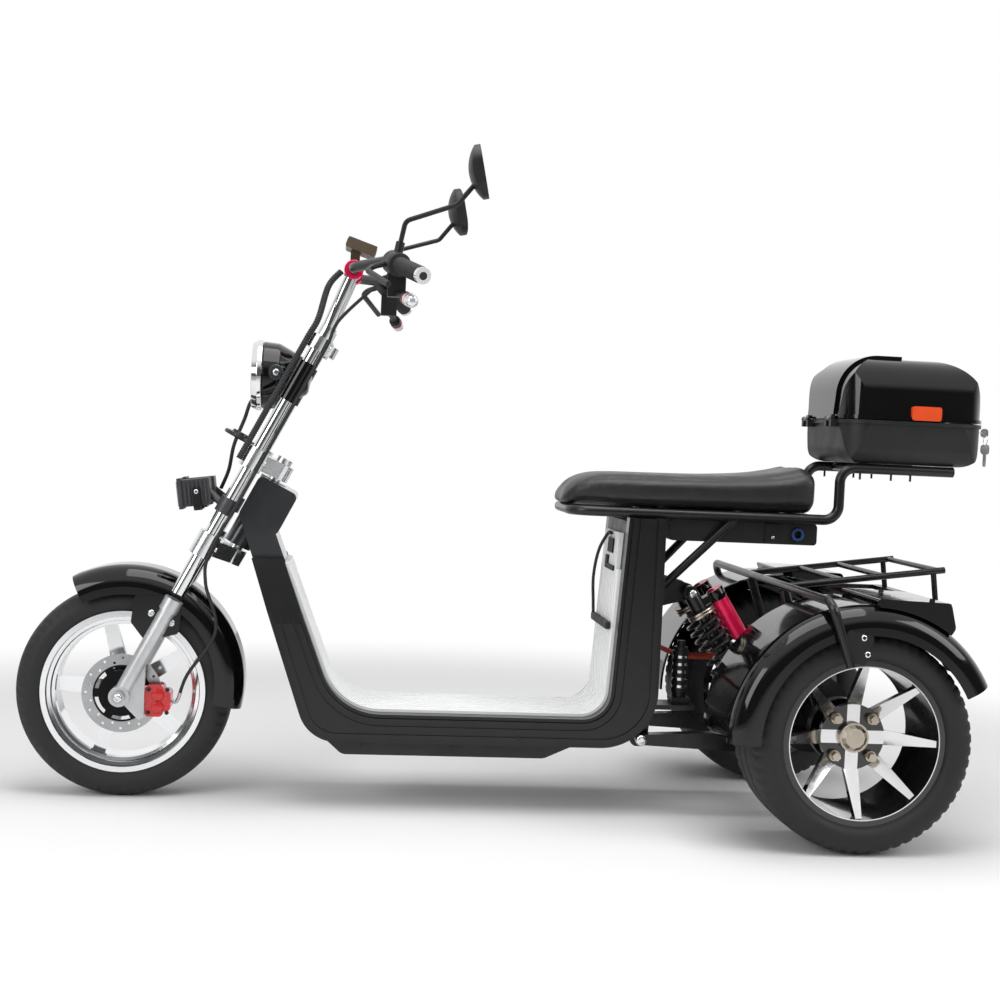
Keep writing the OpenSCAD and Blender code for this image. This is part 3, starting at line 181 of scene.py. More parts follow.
# %% White surround with a dim side for reflections
SURROUND_LIGHT, DIM_SIDE = 0.42, 0.10
BRIGHT_ABOVE, BRIGHT_BEHIND = (0.30, 0.62), (-0.25, 0.45)
WHITE = (1, 1, 1, 1)
world = bpy.data.worlds.new("studio")
bpy.context.scene.world = world
world.use_nodes = True
sky = world.node_tree
sky.nodes.clear()
split = wire(sky, "SeparateXYZ", {"Vector": wire(sky, "TexCoord", out="Generated")}, None)
bright = calc(sky, "MAXIMUM", smooth_rise(sky, split["Z"], *BRIGHT_ABOVE),
              smooth_rise(sky, split["Y"], *BRIGHT_BEHIND))
ray = wire(sky, "LightPath", out=None)
mirrored, plain, white = (wire(sky, "Background", {"Color": WHITE, "Strength": strength})
                          for strength in (spread(sky, bright, DIM_SIDE, 1.0, 0.0, 1.0), SURROUND_LIGHT, 1.0))
lit = wire(sky, "MixShader", {0: ray["Is Glossy Ray"], 1: plain, 2: mirrored})
seen = calc(sky, "MAXIMUM", ray["Is Camera Ray"], ray["Is Transmission Ray"])
wire(sky, "OutputWorld", {"Surface": wire(sky, "MixShader", {0: seen, 1: lit, 2: white})}, None)
print("surround wired")

# %% Lamps
LAMPS = (  # name, place, aim, size in metres, watts
    ("top_box", (0.1, -0.6, 3.2), (0.0, 0.0, 0.5), 2.6, 62),
    ("front_box", (-2.6, -2.2, 1.7), (-0.3, 0.0, 0.5), 1.6, 34),
    ("rear_box", (2.8, -1.6, 1.9), (0.3, 0.0, 0.5), 1.5, 26))
ASIDE = (0.0, 1.0, 0.02)
for name, place, aim, size, watts in LAMPS:
    lamp_data = bpy.data.lights.new(name, "AREA")
    lamp_data.size, lamp_data.energy = size, watts
    back = unit(np.subtract(place, aim))
    across = unit(np.cross(ASIDE, back))
    add_object(name, lamp_data).matrix_world = turned_to(place, across, np.cross(back, across), back)
print("lamps:", len(LAMPS))

# %% Floor
FLOOR_REACH = 9.0
FADE_FROM, FADE_TO = 1.5, 2.6
PAPER = (0.93, 0.93, 0.93, 1)
floor_mesh = bpy.data.meshes.new("floor")
floor_mesh.from_pydata([(x * FLOOR_REACH, y * FLOOR_REACH, 0) for x, y in ((-1, -1), (1, -1), (1, 1), (-1, 1))],
                       [], [(0, 1, 2, 3)])
floor = add_object("floor", floor_mesh)
floor_look = bpy.data.materials.new("pale_floor")
floor_look.use_nodes = True
ground = floor_look.node_tree
ground.nodes.clear()
away = wire(ground, "VectorMath", {0: wire(ground, "TexCoord", out="Object")}, "Value", operation="LENGTH")
camera_ray = wire(ground, "LightPath", out="Is Camera Ray")
seen_fade = calc(ground, "MULTIPLY", smooth_rise(ground, away, FADE_FROM, FADE_TO), camera_ray)
paper = wire(ground, "BsdfDiffuse", {"Color": PAPER})
glow = wire(ground, "Emission", {"Color": WHITE, "Strength": 1.0})
wire(ground, "OutputMaterial", {"Surface": wire(ground, "MixShader", {0: seen_fade, 1: paper, 2: glow})}, None)
floor_mesh.materials.append(floor_look)
print("floor reaches", FLOOR_REACH, "m and fades to white")

# %% [markdown]
# ## Finishes
# A real surface is never one flat colour. Each finish here starts from the same three ideas: a slow
# mottling of the colour, a change of roughness from place to place, and a fine relief at the scale of
# the real grain. All patterns are read in object coordinates, in metres, so they stay on the piece.

# %% Building blocks of a finish
MOTTLE_PER_METRE, ROUGH_PATCHES = 9.0, 3.1
finishes = {}


def object_point(tree, stretch=(1, 1, 1)):
    """Object coordinates, stretched per axis."""
    return wire(tree, "Mapping", {"Vector": wire(tree, "TexCoord", out="Object"), "Scale": stretch})


def noise(tree, per_metre, detail=3.0, stretch=(1, 1, 1)):
    """Soft noise from 0 to 1, with about per_metre lumps along a metre."""
    return wire(tree, "TexNoise", {"Vector": object_point(tree, stretch), "Scale": per_metre,
                                   "Detail": detail}, "Fac")


def blend_colour(tree, share, first, second):
    """Mix of two colours (or colour sockets) by share."""
    first, second = ((*c, 1.0) if isinstance(c, tuple) else c for c in (first, second))
    return wire(tree, "Mix", {0: share, 6: first, 7: second}, 2, data_type="RGBA")


def relief(tree, height, depth_mm, below=None):
    """Bump of the given depth in millimetres, on top of another bump when there is one."""
    inputs = {"Height": height, "Distance": depth_mm * MM, "Strength": 1.0}
    if below is not None:
        inputs["Normal"] = below
    return wire(tree, "Bump", inputs)


def shade(colour, factor):
    """Colour made darker or lighter."""
    return tuple(min(c * factor, 1.0) for c in colour)


def new_finish(name, **fixed):
    """Material with one Principled shader; fixed fills its plain sockets (an underscore is a space)."""
    look = bpy.data.materials.new(name)
    look.use_nodes = True
    shader = look.node_tree.nodes["Principled BSDF"]
    for key, value in fixed.items():
        shader.inputs[key.replace("_", " ")].default_value = value
    return look, look.node_tree, shader


def feed(tree, shader, colour, roughness, normal, **others):
    """Link the sockets that vary over the surface to the shader."""
    for key, socket in {"Base Color": colour, "Roughness": roughness, "Normal": normal, **others}.items():
        tree.links.new(socket, shader.inputs[key])


def grained(name, colour, rough, grain, node=None, mottle=0.18, stretch=(1, 1, 1), coat=(0.0, 0.03), specular=0.5,
            metallic=0.0):
    """Mottled colour, roughness between two values, and noise relief (per metre, depth in mm).

    A coat is its weight and roughness. Kept in finishes under its own name, or under the node that it
    alone belongs to.
    """
    look, tree, shader = new_finish(name, Coat_Weight=coat[0], Coat_Roughness=coat[1],
                                    Specular_IOR_Level=specular, Metallic=metallic)
    patches = spread(tree, noise(tree, MOTTLE_PER_METRE), 0, 1)
    feed(tree, shader, blend_colour(tree, patches, shade(colour, 1 - mottle), shade(colour, 1 + mottle)),
         spread(tree, noise(tree, MOTTLE_PER_METRE * ROUGH_PATCHES), *rough),
         relief(tree, noise(tree, grain[0], 2.0, stretch), grain[1]))
    finishes[node or name] = look


print("finish helpers ready")

# %% Paint, plastic, rubber and plain metal
grained("black_steel", (0.009, 0.009, 0.010), (0.24, 0.38), (900, 0.05), coat=(0.2, 0.15), specular=0.35)
grained("gloss_black", (0.003, 0.003, 0.0033), (0.05, 0.13), (40, 0.02), coat=(0.5, 0.03), specular=0.22)
grained("matte_black", (0.011, 0.0112, 0.012), (0.34, 0.48), (1400, 0.06), specular=0.38)
grained("dark_grey", (0.045, 0.05, 0.058), (0.14, 0.26), (300, 0.02), coat=(0.5, 0.08))
grained("mat_grey", (0.88, 0.885, 0.89), (0.50, 0.66), (3200, 0.006), mottle=0.02)
grained("rubber", (0.016, 0.016, 0.016), (0.55, 0.75), (1200, 0.08))
grained("red_paint", (0.55, 0.008, 0.010), (0.22, 0.36), (500, 0.05), mottle=0.08, coat=(0.5, 0.10))
grained("red_lens", (0.80, 0.085, 0.02), (0.08, 0.16), (420, 0.25), mottle=0.08, coat=(0.5, 0.05))
grained("cable_red", (0.40, 0.045, 0.02), (0.36, 0.5), (900, 0.05))
grained("blue_ring", (0.008, 0.05, 0.17), (0.25, 0.40), (600, 0.04))

grained("chrome", (0.80, 0.81, 0.82), (0.04, 0.10), (60, 0.01), mottle=0.05, metallic=1.0)
grained("cast_alloy", (0.62, 0.63, 0.64), (0.34, 0.48), (1100, 0.06), mottle=0.08, metallic=0.85)
grained("polished_alloy", (0.78, 0.79, 0.80), (0.16, 0.28), (500, 0.03), mottle=0.06, stretch=(1, 0.05, 1),
        metallic=1.0)
grained("red_anodised", (0.80, 0.008, 0.085), (0.18, 0.30), (700, 0.02), mottle=0.08, metallic=0.25)
grained("bronze", (0.52, 0.46, 0.38), (0.22, 0.36), (600, 0.03), mottle=0.10, metallic=0.9)
grained("mirror", (0.85, 0.87, 0.88), (0.01, 0.03), (30, 0.003), mottle=0.02, metallic=1.0)

grained("satin_moulding", (0.009, 0.0092, 0.010), (0.20, 0.28), (1500, 0.02), "side_rails", mottle=0.06,
        coat=(0.15, 0.20), specular=0.34)
grained("dull_moulding", (0.016, 0.0165, 0.0175), (0.42, 0.55), (1500, 0.05), "belly_case")
grained("neck_paint", (0.026, 0.028, 0.032), (0.16, 0.28), (300, 0.02), "neck", coat=(0.5, 0.10))
grained("lamp_alloy", (0.055, 0.056, 0.060), (0.36, 0.50), (1200, 0.05), "aux_lamps", metallic=0.3)
grained("screen_case", (0.085, 0.062, 0.042), (0.30, 0.42), (900, 0.04), "display")
grained("box_moulding", (0.013, 0.0133, 0.014), (0.38, 0.50), (1300, 0.06), "box_base", specular=0.38)
print("plain finishes:", len(finishes))

# %% [markdown]
# ### Turned and brushed faces
# Wheel rims and brake discs carry fine rings from the lathe. The rings follow the distance from the
# axle, so the recipe measures that distance in the shader and feeds it to a one-dimensional noise.

# %% Finishes that follow the distance from an axle
TOOL_MARKS, TOOL_DEPTH = 1500.0, 0.02
DISC_BLACK_TO, DISC_BLACK = 0.060, (0.015, 0.015, 0.016)


def from_centre(tree, axle_mm):
    """Vector in metres from the middle of an axle."""
    place = wire(tree, "TexCoord", out="Object")
    return wire(tree, "VectorMath", {0: place, 1: tuple(axle_mm * MM)}, operation="SUBTRACT")


def from_axle(tree, axle_mm):
    """Distance in metres from the wheel's turning line, which runs along Y."""
    flat = wire(tree, "VectorMath", {0: from_centre(tree, axle_mm), 1: (1, 0, 1)}, operation="MULTIPLY")
    return wire(tree, "VectorMath", {0: flat}, "Value", operation="LENGTH")


def rings(tree, radius, per_metre):
    """Noise that changes only with the radius."""
    return wire(tree, "TexNoise", {"W": radius, "Scale": per_metre, "Detail": 2.0}, "Fac", noise_dimensions="1D")


def turned(name, node, colour, rough):
    """Metal turned on a lathe about the front axle, kept in finishes for a node or slot."""
    look, tree, shader = new_finish(name, Metallic=1.0)
    line = rings(tree, from_axle(tree, front_axle), TOOL_MARKS)
    tint = blend_colour(tree, line, shade(colour, 0.9), shade(colour, 1.06))
    feed(tree, shader, tint, spread(tree, noise(tree, 26.0), *rough), relief(tree, line, TOOL_DEPTH))
    finishes[node] = look
    return tree, shader, tint


turned("polished_rim", "front_rim", (0.82, 0.83, 0.84), (0.07, 0.15))
turned("axle_steel", "steel", (0.50, 0.51, 0.52), (0.25, 0.38))
disc_tree, disc_shader, disc_tint = turned("brake_disc", "brake_disc", (0.46, 0.47, 0.48), (0.26, 0.38))
carrier = spread(disc_tree, from_axle(disc_tree, front_axle), 1.0, 0.0, DISC_BLACK_TO - 0.001, DISC_BLACK_TO)
disc_tree.links.new(blend_colour(disc_tree, carrier, disc_tint, DISC_BLACK), disc_shader.inputs["Base Color"])
print("turned finishes ready")

# %% [markdown]
# ### Rear rims
# The rear rims are painted black and then the outer faces of their spokes are cut bright on a lathe.
# The cut is a plane of the lathe tool, so the bright metal shows wherever the face looks outwards
# between the hub and the rim. On the hub itself only the four spokes between the nuts stay bright.

# %% Black rims with bright cut spokes
FACE_EDGE = (0.55, 0.60)
RIM_EDGE, HUB_EDGE, SPOKE_EDGE = (0.1525, 0.1535), (0.0664, 0.0670), (0.0130, 0.0138)


def cut_rim(node, name, side):
    """Black paint with bright metal on faces that look outwards (sign side along Y) inside the rim."""
    look, tree, shader = new_finish(name, Coat_Weight=0.6, Coat_Roughness=0.05)
    radius = from_axle(tree, rear_axle)
    facing = wire(tree, "SeparateXYZ", {"Vector": wire(tree, "NewGeometry", out="Normal")}, "Y")
    outwards = spread(tree, calc(tree, "MULTIPLY", facing, side), 0.0, 1.0, *FACE_EDGE)
    reach = wire(tree, "VectorMath", {0: from_centre(tree, rear_axle)}, operation="ABSOLUTE")
    reach = wire(tree, "SeparateXYZ", {"Vector": reach}, None)
    on_spoke = spread(tree, calc(tree, "MINIMUM", reach["X"], reach["Z"]), 1.0, 0.0, *SPOKE_EDGE)
    shown = calc(tree, "MAXIMUM", on_spoke, spread(tree, radius, 0.0, 1.0, *HUB_EDGE))
    cut = calc(tree, "MULTIPLY", outwards, spread(tree, radius, 1.0, 0.0, *RIM_EDGE))
    bare = calc(tree, "MULTIPLY", cut, shown)
    line = rings(tree, radius, 1200.0)
    metal = blend_colour(tree, line, (0.66, 0.66, 0.67), (0.84, 0.84, 0.85))
    paint = blend_colour(tree, noise(tree, 12.0), (0.006, 0.006, 0.006), (0.010, 0.010, 0.011))
    feed(tree, shader, blend_colour(tree, bare, paint, metal), spread(tree, noise(tree, 30.0), 0.10, 0.20),
         relief(tree, line, 0.012), Metallic=bare)
    finishes[node] = look


cut_rim("rear_rim_left", "cut_rim_left", -1)
cut_rim("rear_rim_right", "cut_rim_right", 1)
print("cut rims ready")

# %% [markdown]
# ### Lamp glass
# The headlamp's glass is fluted: upright ribs bend the light sideways. Behind it a silvered bowl makes
# the lamp look bright; that reflection is painted into the glass as a pale, half metallic gloss, and the flutes are
# relief and painted lighter and darker stripes.

# %% Fluted lamp glass
FLUTES_SCALE, FLUTE_DEPTH = 26.0, 1.2
finishes["clear_lens"], lens_tree, lens = new_finish("lamp_glass", Metallic=0.55, Coat_Weight=1.0,
                                                     Coat_Roughness=0.02)
flutes = wire(lens_tree, "TexWave", {"Vector": object_point(lens_tree), "Scale": FLUTES_SCALE, "Distortion": 0.0},
              "Fac", bands_direction="Y")
# Painted reflection: the pale colour stands for the silvered bowl behind the glass, and the flutes paint lighter and
# darker stripes of refracted light.
feed(lens_tree, lens, blend_colour(lens_tree, flutes, (0.62, 0.66, 0.70), (0.86, 0.89, 0.92)),
     spread(lens_tree, noise(lens_tree, 40.0), 0.08, 0.16), relief(lens_tree, flutes, FLUTE_DEPTH))
print("lamp glass ready")

# %% [markdown]
# ### Seat covering and tyre rubber
# The seat is covered in grained artificial leather: small rounded cells with soft creases, which are painted darker
# in their low parts as painted shade.
# Tyre rubber is almost black, dull, and has a faint bloom that changes over the sidewall.

# %% Leather and tyre rubber
CELLS_PER_METRE, CELL_DEPTH, CREASE_DEPTH = 560.0, 0.22, 0.5
finishes["black_leather"], hide_tree, hide = new_finish("black_leather", Specular_IOR_Level=0.45)
cells = wire(hide_tree, "TexVoronoi", {"Vector": object_point(hide_tree), "Scale": CELLS_PER_METRE}, "Distance",
             feature="SMOOTH_F1")
creases = noise(hide_tree, 46.0, 4.0)
# Painted shade: the colour follows the crease relief and is darker in its low parts.
feed(hide_tree, hide, blend_colour(hide_tree, creases, (0.010, 0.010, 0.0105), (0.020, 0.020, 0.021)),
     spread(hide_tree, noise(hide_tree, 18.0), 0.32, 0.46),
     relief(hide_tree, cells, CELL_DEPTH, relief(hide_tree, creases, CREASE_DEPTH)))


def tyre_rubber(node, name, axle_mm):
    """Dull black rubber with faint moulding rings round the axle."""
    look, tree, shader = new_finish(name, Specular_IOR_Level=0.35)
    line = rings(tree, from_axle(tree, axle_mm), 420.0)
    bloom = noise(tree, 14.0, 4.0)
    feed(tree, shader, blend_colour(tree, bloom, (0.012, 0.012, 0.0125), (0.026, 0.026, 0.027)),
         spread(tree, bloom, 0.52, 0.70), relief(tree, line, 0.12, relief(tree, noise(tree, 900.0), 0.08)))
    finishes[node] = look


tyre_rubber("front_tyre", "front_tyre_rubber", front_axle)
tyre_rubber("tyre", "rear_tyre_rubber", rear_axle)
print("leather and rubber ready")

# %% [markdown]
# ### Handlebar colours
# The bar is one bent tube, black between the clamps and the grips, with bright risers and bright end
# caps. The place along the bar decides which finish shows, so one recipe holds both.

# %% Black bar with bright ends
bar_middle = on_fork(-14, 0, 1008)
TIP_EDGE, CLAMP_EDGE = (0.3635, 0.3645), (0.073, 0.074)
RISER_EDGE = (bar_middle[2] * MM - 0.014, bar_middle[2] * MM - 0.013)
finishes["handlebar"], bar_tree, bar_shader = new_finish("bar_black_and_chrome", Coat_Weight=0.2)
bar_place = wire(bar_tree, "SeparateXYZ", {"Vector": object_point(bar_tree)}, None)
bar_side = calc(bar_tree, "ABSOLUTE", bar_place["Y"])
risers = calc(bar_tree, "MULTIPLY", spread(bar_tree, bar_side, 1.0, 0.0, *CLAMP_EDGE),
              spread(bar_tree, bar_place["Z"], 1.0, 0.0, *RISER_EDGE))
bare = calc(bar_tree, "MAXIMUM", spread(bar_tree, bar_side, 0.0, 1.0, *TIP_EDGE), risers)
grain = noise(bar_tree, 400.0)
black = blend_colour(bar_tree, grain, (0.007, 0.007, 0.008), (0.011, 0.011, 0.012))
silver = blend_colour(bar_tree, grain, (0.76, 0.77, 0.78), (0.84, 0.85, 0.86))
feed(bar_tree, bar_shader, blend_colour(bar_tree, bare, black, silver),
     spread(bar_tree, bare, 0.34, 0.09, 0.0, 1.0), relief(bar_tree, grain, 0.02), Metallic=bare)
print("handlebar finish ready")

# %% [markdown]
# ## Finishing the solids
# Each solid names a material slot. The slot gives its finish, unless the solid has one of its own.

# %% Put the finishes on the solids
slot_of = {row["node"]: row["material_slot"] for row in frame["record"]["subparts"]}
for node, solid in solids.items():
    solid.data.materials.clear()
    solid.data.materials.append(finishes.get(node) or finishes.get(slot_of[node]) or finishes["matte_black"])
print("solids finished:", len(solids))

# %% [markdown]
# ## Surfaces from numbers
# A grid of points is the base of every new piece. A lathe carries a profile round an axis, a tube
# carries a circle along a path. Both are worked out as whole arrays and then handed to Blender.

# %% Grid, lathe and tube
def grid_faces(rows, cols, close_rows=False):
    """Four-sided faces of a grid whose columns close on themselves, and its rows too where asked."""
    i, j = np.meshgrid(np.arange(rows if close_rows else rows - 1), np.arange(cols), indexing="ij")
    down, over = (i + 1) % rows, (j + 1) % cols
    return np.stack([i * cols + j, i * cols + over, down * cols + over, down * cols + j], -1).reshape(-1, 4)


def circle(count):
    """Equal angles round a full turn."""
    return np.linspace(0, 2 * np.pi, count, endpoint=False)


def lathe(profile, centre, axis, around=40):
    """Turned shape: centre + height * axis + radius * (cos a * u + sin a * v) for each (radius, height) row."""
    axis = unit(axis)
    u = unit(np.cross(axis, UP if abs(axis[2]) < 0.9 else REAR))
    v = np.cross(axis, u)
    angle = circle(around)[:, None]
    radius, height = np.asarray(profile, float).T[:, :, None, None]
    points = np.asarray(centre) + height * axis + radius * (np.cos(angle) * u + np.sin(angle) * v)
    return points.reshape(-1, 3) * MM, grid_faces(len(radius), around)


def both_sides(profile, centre, axis, around):
    """The same turned shape on the left and, mirrored, on the right."""
    return [lathe(profile, centre * turn, axis * turn, around) for turn in (1, MIRROR)]


def swept(outline, path, across, scale=1.0):
    """Closed outline (u, v) carried along a path, with both ends closed to a point.

    At each point u is square to the path and to across, v is square to both, and scale sizes the outline.
    """
    path, outline = np.asarray(path, float), np.asarray(outline, float)
    along = unit(np.gradient(path, axis=0))
    u = unit(np.cross(along, across))
    v = np.cross(along, u)
    size = np.pad(np.broadcast_to(scale, len(path)).astype(float), 1)
    path, u, v = (np.concatenate([a[:1], a, a[-1:]])[:, None] for a in (path, u, v))
    points = path + size[:, None, None] * (outline[:, :1] * u + outline[:, 1:] * v)
    return points.reshape(-1, 3) * MM, grid_faces(len(size), len(outline))


def tube(path, radius, sides=16, across=RIGHT):
    """Cord: a circle square to the path at each point, of one radius or one for each point."""
    angle = circle(sides)
    return swept(np.column_stack([np.cos(angle), np.sin(angle)]), path, across, radius)


def smooth_path(points, steps):
    """Catmull-Rom curve: each span is a cubic that passes its two points with the slope of their neighbours."""
    p = np.asarray(points, float)
    t = np.linspace(0, len(p) - 1, steps)
    i = np.minimum(t.astype(int), len(p) - 2)
    f = (t - i)[:, None]
    a, b, c, d = p[np.maximum(i - 1, 0)], p[i], p[i + 1], p[np.minimum(i + 2, len(p) - 1)]
    return 0.5 * (2 * b + (c - a) * f + (2 * a - 5 * b + 4 * c - d) * f ** 2 + (3 * b - a - 3 * c + d) * f ** 3)


# %% From arrays to a piece
SAME_POINT = 1e-6
SHARP, SHARP_PLATE, SHARP_CORD, NEVER_SHARP = 38.0, 30.0, 60.0, 180.0


def make_piece(name, parts, body, slot, sharp_deg=SHARP, look=None):
    """One object from (points, faces) parts: doubles merged, faces turned outwards, riding on a body.

    Its finish is that of its slot, unless look names another.
    """
    starts = np.cumsum([0] + [len(points) for points, _ in parts])
    points = np.concatenate([p for p, _ in parts])
    faces = np.concatenate([f + start for (_, f), start in zip(parts, starts)])
    mesh = bpy.data.meshes.new(name)
    mesh.from_pydata(points.tolist(), [], faces.tolist())
    work = bmesh.new()
    work.from_mesh(mesh)
    bmesh.ops.remove_doubles(work, verts=work.verts, dist=SAME_POINT)
    bmesh.ops.recalc_face_normals(work, faces=work.faces)
    work.to_mesh(mesh)
    work.free()
    mesh.polygons.foreach_set("use_smooth", np.ones(len(mesh.polygons), bool))
    mesh.set_sharp_from_angle(angle=np.radians(sharp_deg))
    mesh.materials.append(finishes[look or slot])
    piece = add_object(name, mesh)
    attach(piece, body)
    print(name, "faces:", len(mesh.polygons))
    return piece


# %% [markdown]
# ## Tyres
# A tyre is a closed section carried round the axle. Tread is cut by lowering points of the same grid:
# short notches across each shoulder, a zigzag groove near the middle, and fine sipes.
# Cutting it in the geometry, not only in the shading, keeps the notched outline of the photograph.

# %% Section of a tyre
ROUNDS = 4


def tyre_size(node):
    """Outer radius and half width of a tyre, from its box."""
    low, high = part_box(node)
    return (high[2] - low[2]) / 2 / MM, (high[1] - low[1]) / 2 / MM


def tyre_section(one_side, count):
    """Outline (radius, across) at equal distances, from the corners of one side, crown to foot.

    The side and its mirror image close up, and each round cuts every corner at a quarter of its sides.
    """
    one_side = np.array(one_side, float)
    points = np.roll(np.concatenate([one_side, one_side[::-1] * [1, -1]]), len(one_side) - 1, axis=0)
    for _ in range(ROUNDS):
        following = np.roll(points, -1, axis=0)
        points = np.stack([0.75 * points + 0.25 * following, 0.25 * points + 0.75 * following], 1).reshape(-1, 2)
    closed = np.concatenate([points, points[:1]])
    run = np.concatenate([[0], np.cumsum(np.linalg.norm(np.diff(closed, axis=0), axis=1))])
    at = np.linspace(0, run[-1], count, endpoint=False)
    return np.column_stack([np.interp(at, run, closed[:, k]) for k in range(2)])


# %% Tyre surfaces with tread
TREAD_DEPTH, TREAD_FROM, TREAD_FULL, STEPS = 2.6, 26, 14, 8
NOTCH_EDGE, SHOULDER, STAGGER = (0.45, 0.75), (0.60, 0.70), 0.8
GROOVE_AT, GROOVE_SWING, GROOVE_EDGE = 0.20, 0.06, (0.035, 0.06)
SIPE_EDGE, SIPE_FROM, SIPE_TO, SIPE_SLANT, SIPE_SHARE = (0.90, 0.97), (0.30, 0.34), (0.48, 0.52), 9, 0.6


def ramp(value, start, stop):
    """Smooth step from 0 at start to 1 at stop."""
    t = np.clip((value - start) / (stop - start), 0, 1)
    return t * t * (3 - 2 * t)


def tyre_surface(section, centre, outer_r, half_w, blocks):
    """Section (radius, across) carried round the axle; radius falls by the depth where the tread is cut.

    Shoulder notches: cut where cos(blocks * a) is high and the point is near the edge of the tread.
    Groove: cut near a zigzag line, at GROOVE_AT half widths plus a triangle wave.
    Sipes: thin slanted cuts, twice as many as the notches, between the groove and the shoulder.
    """
    angle = np.linspace(0, 2 * np.pi, blocks * STEPS, endpoint=False)[:, None]
    radius, across = section.T[:, None]
    share = np.abs(across) / half_w
    tread = ramp(radius, outer_r - TREAD_FROM, outer_r - TREAD_FULL)
    notch = ramp(np.cos(blocks * angle + np.sign(across) * STAGGER), *NOTCH_EDGE) * ramp(share, *SHOULDER)
    wave = GROOVE_SWING * np.abs(((blocks / 3 * angle / np.pi) % 2) - 1)
    groove = 1 - ramp(np.abs(share - GROOVE_AT - wave), *GROOVE_EDGE)
    sipe_band = ramp(share, *SIPE_FROM) * (1 - ramp(share, *SIPE_TO))
    sipe = ramp(np.cos(2 * blocks * angle + SIPE_SLANT * share), *SIPE_EDGE) * sipe_band
    radius = radius - TREAD_DEPTH * tread * np.maximum(np.maximum(notch, groove), SIPE_SHARE * sipe)
    points = np.stack([centre[0] + radius * np.cos(angle), centre[1] + across + 0 * angle,
                       centre[2] + radius * np.sin(angle)], -1)
    return points.reshape(-1, 3) * MM, grid_faces(*points.shape[:2], close_rows=True)


front_r, front_half = tyre_size("front_tyre")
front_section = tyre_section([(front_r, 22), (front_r - 8, front_half - 14), (front_r - 30, front_half + 2),
                              (172, front_half - 5), (166, front_half - 16)], 72)
front_tread = make_piece("front_tread", [tyre_surface(front_section, front_axle, front_r, front_half, 60)],
                         "front_wheel", "tyre", look="front_tyre")
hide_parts("front_tyre")

rear_r, rear_half = tyre_size("rear_tyre_left")
rear_section = tyre_section([(rear_r, rear_half - 34), (rear_r - 8, rear_half - 8), (rear_r - 34, rear_half + 2),
                             (167, rear_half - 6), (161, rear_half - 26)], 84)
for side, name in ((-1, "left"), (1, "right")):
    surface = tyre_surface(rear_section, rear_axle + [0, side * rear_y, 0], rear_r, rear_half, 54)
    tyre = make_piece("rear_tread_" + name, [surface], "rear_wheel_" + name, "tyre")
    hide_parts("rear_tyre_" + name)

# %% [markdown]
# ## Grips
# Rubber grips have rings moulded round them and a raised flange at the inner end. The solid grip is a
# plain sleeve, so a lathe profile with a cosine wave along its length takes its place.

# %% Ribbed grips
GRIP_R, RIB_HEIGHT, RIB_PITCH = 16.4, 0.55, 7.2
GRIP_DIR = unit([47.0, -135.0, -36.0])
bar_end = bar_middle + [70, -212, 6] + GRIP_DIR * 176
grip_run = np.linspace(-117, -1.6, 180)
grip_ribs = GRIP_R + RIB_HEIGHT * np.cos(2 * np.pi * grip_run / RIB_PITCH)
grip_profile = np.concatenate([[(11.1, -126), (23.4, -126), (24, -125), (24, -119), (23.2, -118)],
                               np.column_stack([grip_ribs, grip_run]), [(15.5, -1.4), (11.1, -1.4), (11.1, -126)]])
ribbed_grips = make_piece("ribbed_grips", both_sides(grip_profile, bar_end, GRIP_DIR, 40), "steering", "rubber")
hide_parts("grips")

# %% [markdown]
# ## Cords
# A brake hose runs from the caliper up behind the left fork leg to the lever. It leaves the caliper and
# reaches the lever through bent steel pipes, because a hose can't turn as tightly as that. A corrugated
# loom carries the wiring up the front of the same leg, a cable drops from the headlamp to the small
# lamps, and three thick soft cables feed the motor. Each is a circle carried along a smooth curve through
# the places that hold it. The loom's circle grows and shrinks as a bellows does.

# %% Cords that are held at both ends
def run_along(path):
    """Distance along a path from its first point to each point."""
    return np.concatenate([[0], np.cumsum(np.linalg.norm(np.diff(path, axis=0), axis=1))])


def lay_cord(name, path, radius, body, slot, node=None, wave=0.0, pitch=1.0, across=RIGHT):
    """Tube along a path with radius + wave * cos(2 pi run / pitch); its length is printed."""
    run = run_along(path)
    bellows = radius + wave * np.cos(2 * np.pi * run / pitch)
    piece = make_piece(name, [tube(path, bellows, across=across)], body, slot, SHARP_CORD)
    if node:
        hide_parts(node)
    print(name, "length", round(run[-1]), "mm")


# %% Brake hose and wiring loom
COLLAR_R, LEG_Y = 24.3, -95.0
HOSE_R, HOSE_BACK, PIPE_R, PIPE_RUN, LEVER_RUN = 3.5, 17, 3.7, 32.0, 27.0
LOOM_R, LOOM_WAVE, LOOM_PITCH, LOOM_BACK = 6.4, 0.6, 5.2, -26


def beside_leg(radius, back):
    """Y of a cord that touches the left leg's collars, so far behind the leg's middle."""
    return LEG_Y - np.sqrt((COLLAR_R + radius) ** 2 - back ** 2)


hose_out = front_axle + [103.6, -78, -10]
hose_route = [hose_out, hose_out + [12, 0, 0], front_axle + [134, -84, 44], front_axle + [190, -96, 140],
              on_fork(40, -112, 290)]
hose_route += [on_fork(HOSE_BACK, beside_leg(HOSE_R, HOSE_BACK), up) for up in (348, 460, 562, 700, 836)]
hose_route += [on_fork(14, -126, 900), bar_end - GRIP_DIR * 190 + [0, 0, -34],
               bar_end - GRIP_DIR * 158.5 + [0, 0, -16]]
hose_path = smooth_path(hose_route, 400)
hose_run = run_along(hose_path)
first, last = np.searchsorted(hose_run, [PIPE_RUN, hose_run[-1] - LEVER_RUN])
pipes = make_piece("hose_pipes", [tube(hose_path[:first + 1], PIPE_R), tube(hose_path[last:], PIPE_R)], "steering",
                   "steel", SHARP_CORD)
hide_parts("hoses")
lay_cord("brake_hose", hose_path[first:last + 1], HOSE_R, "steering", "rubber", "hoses")
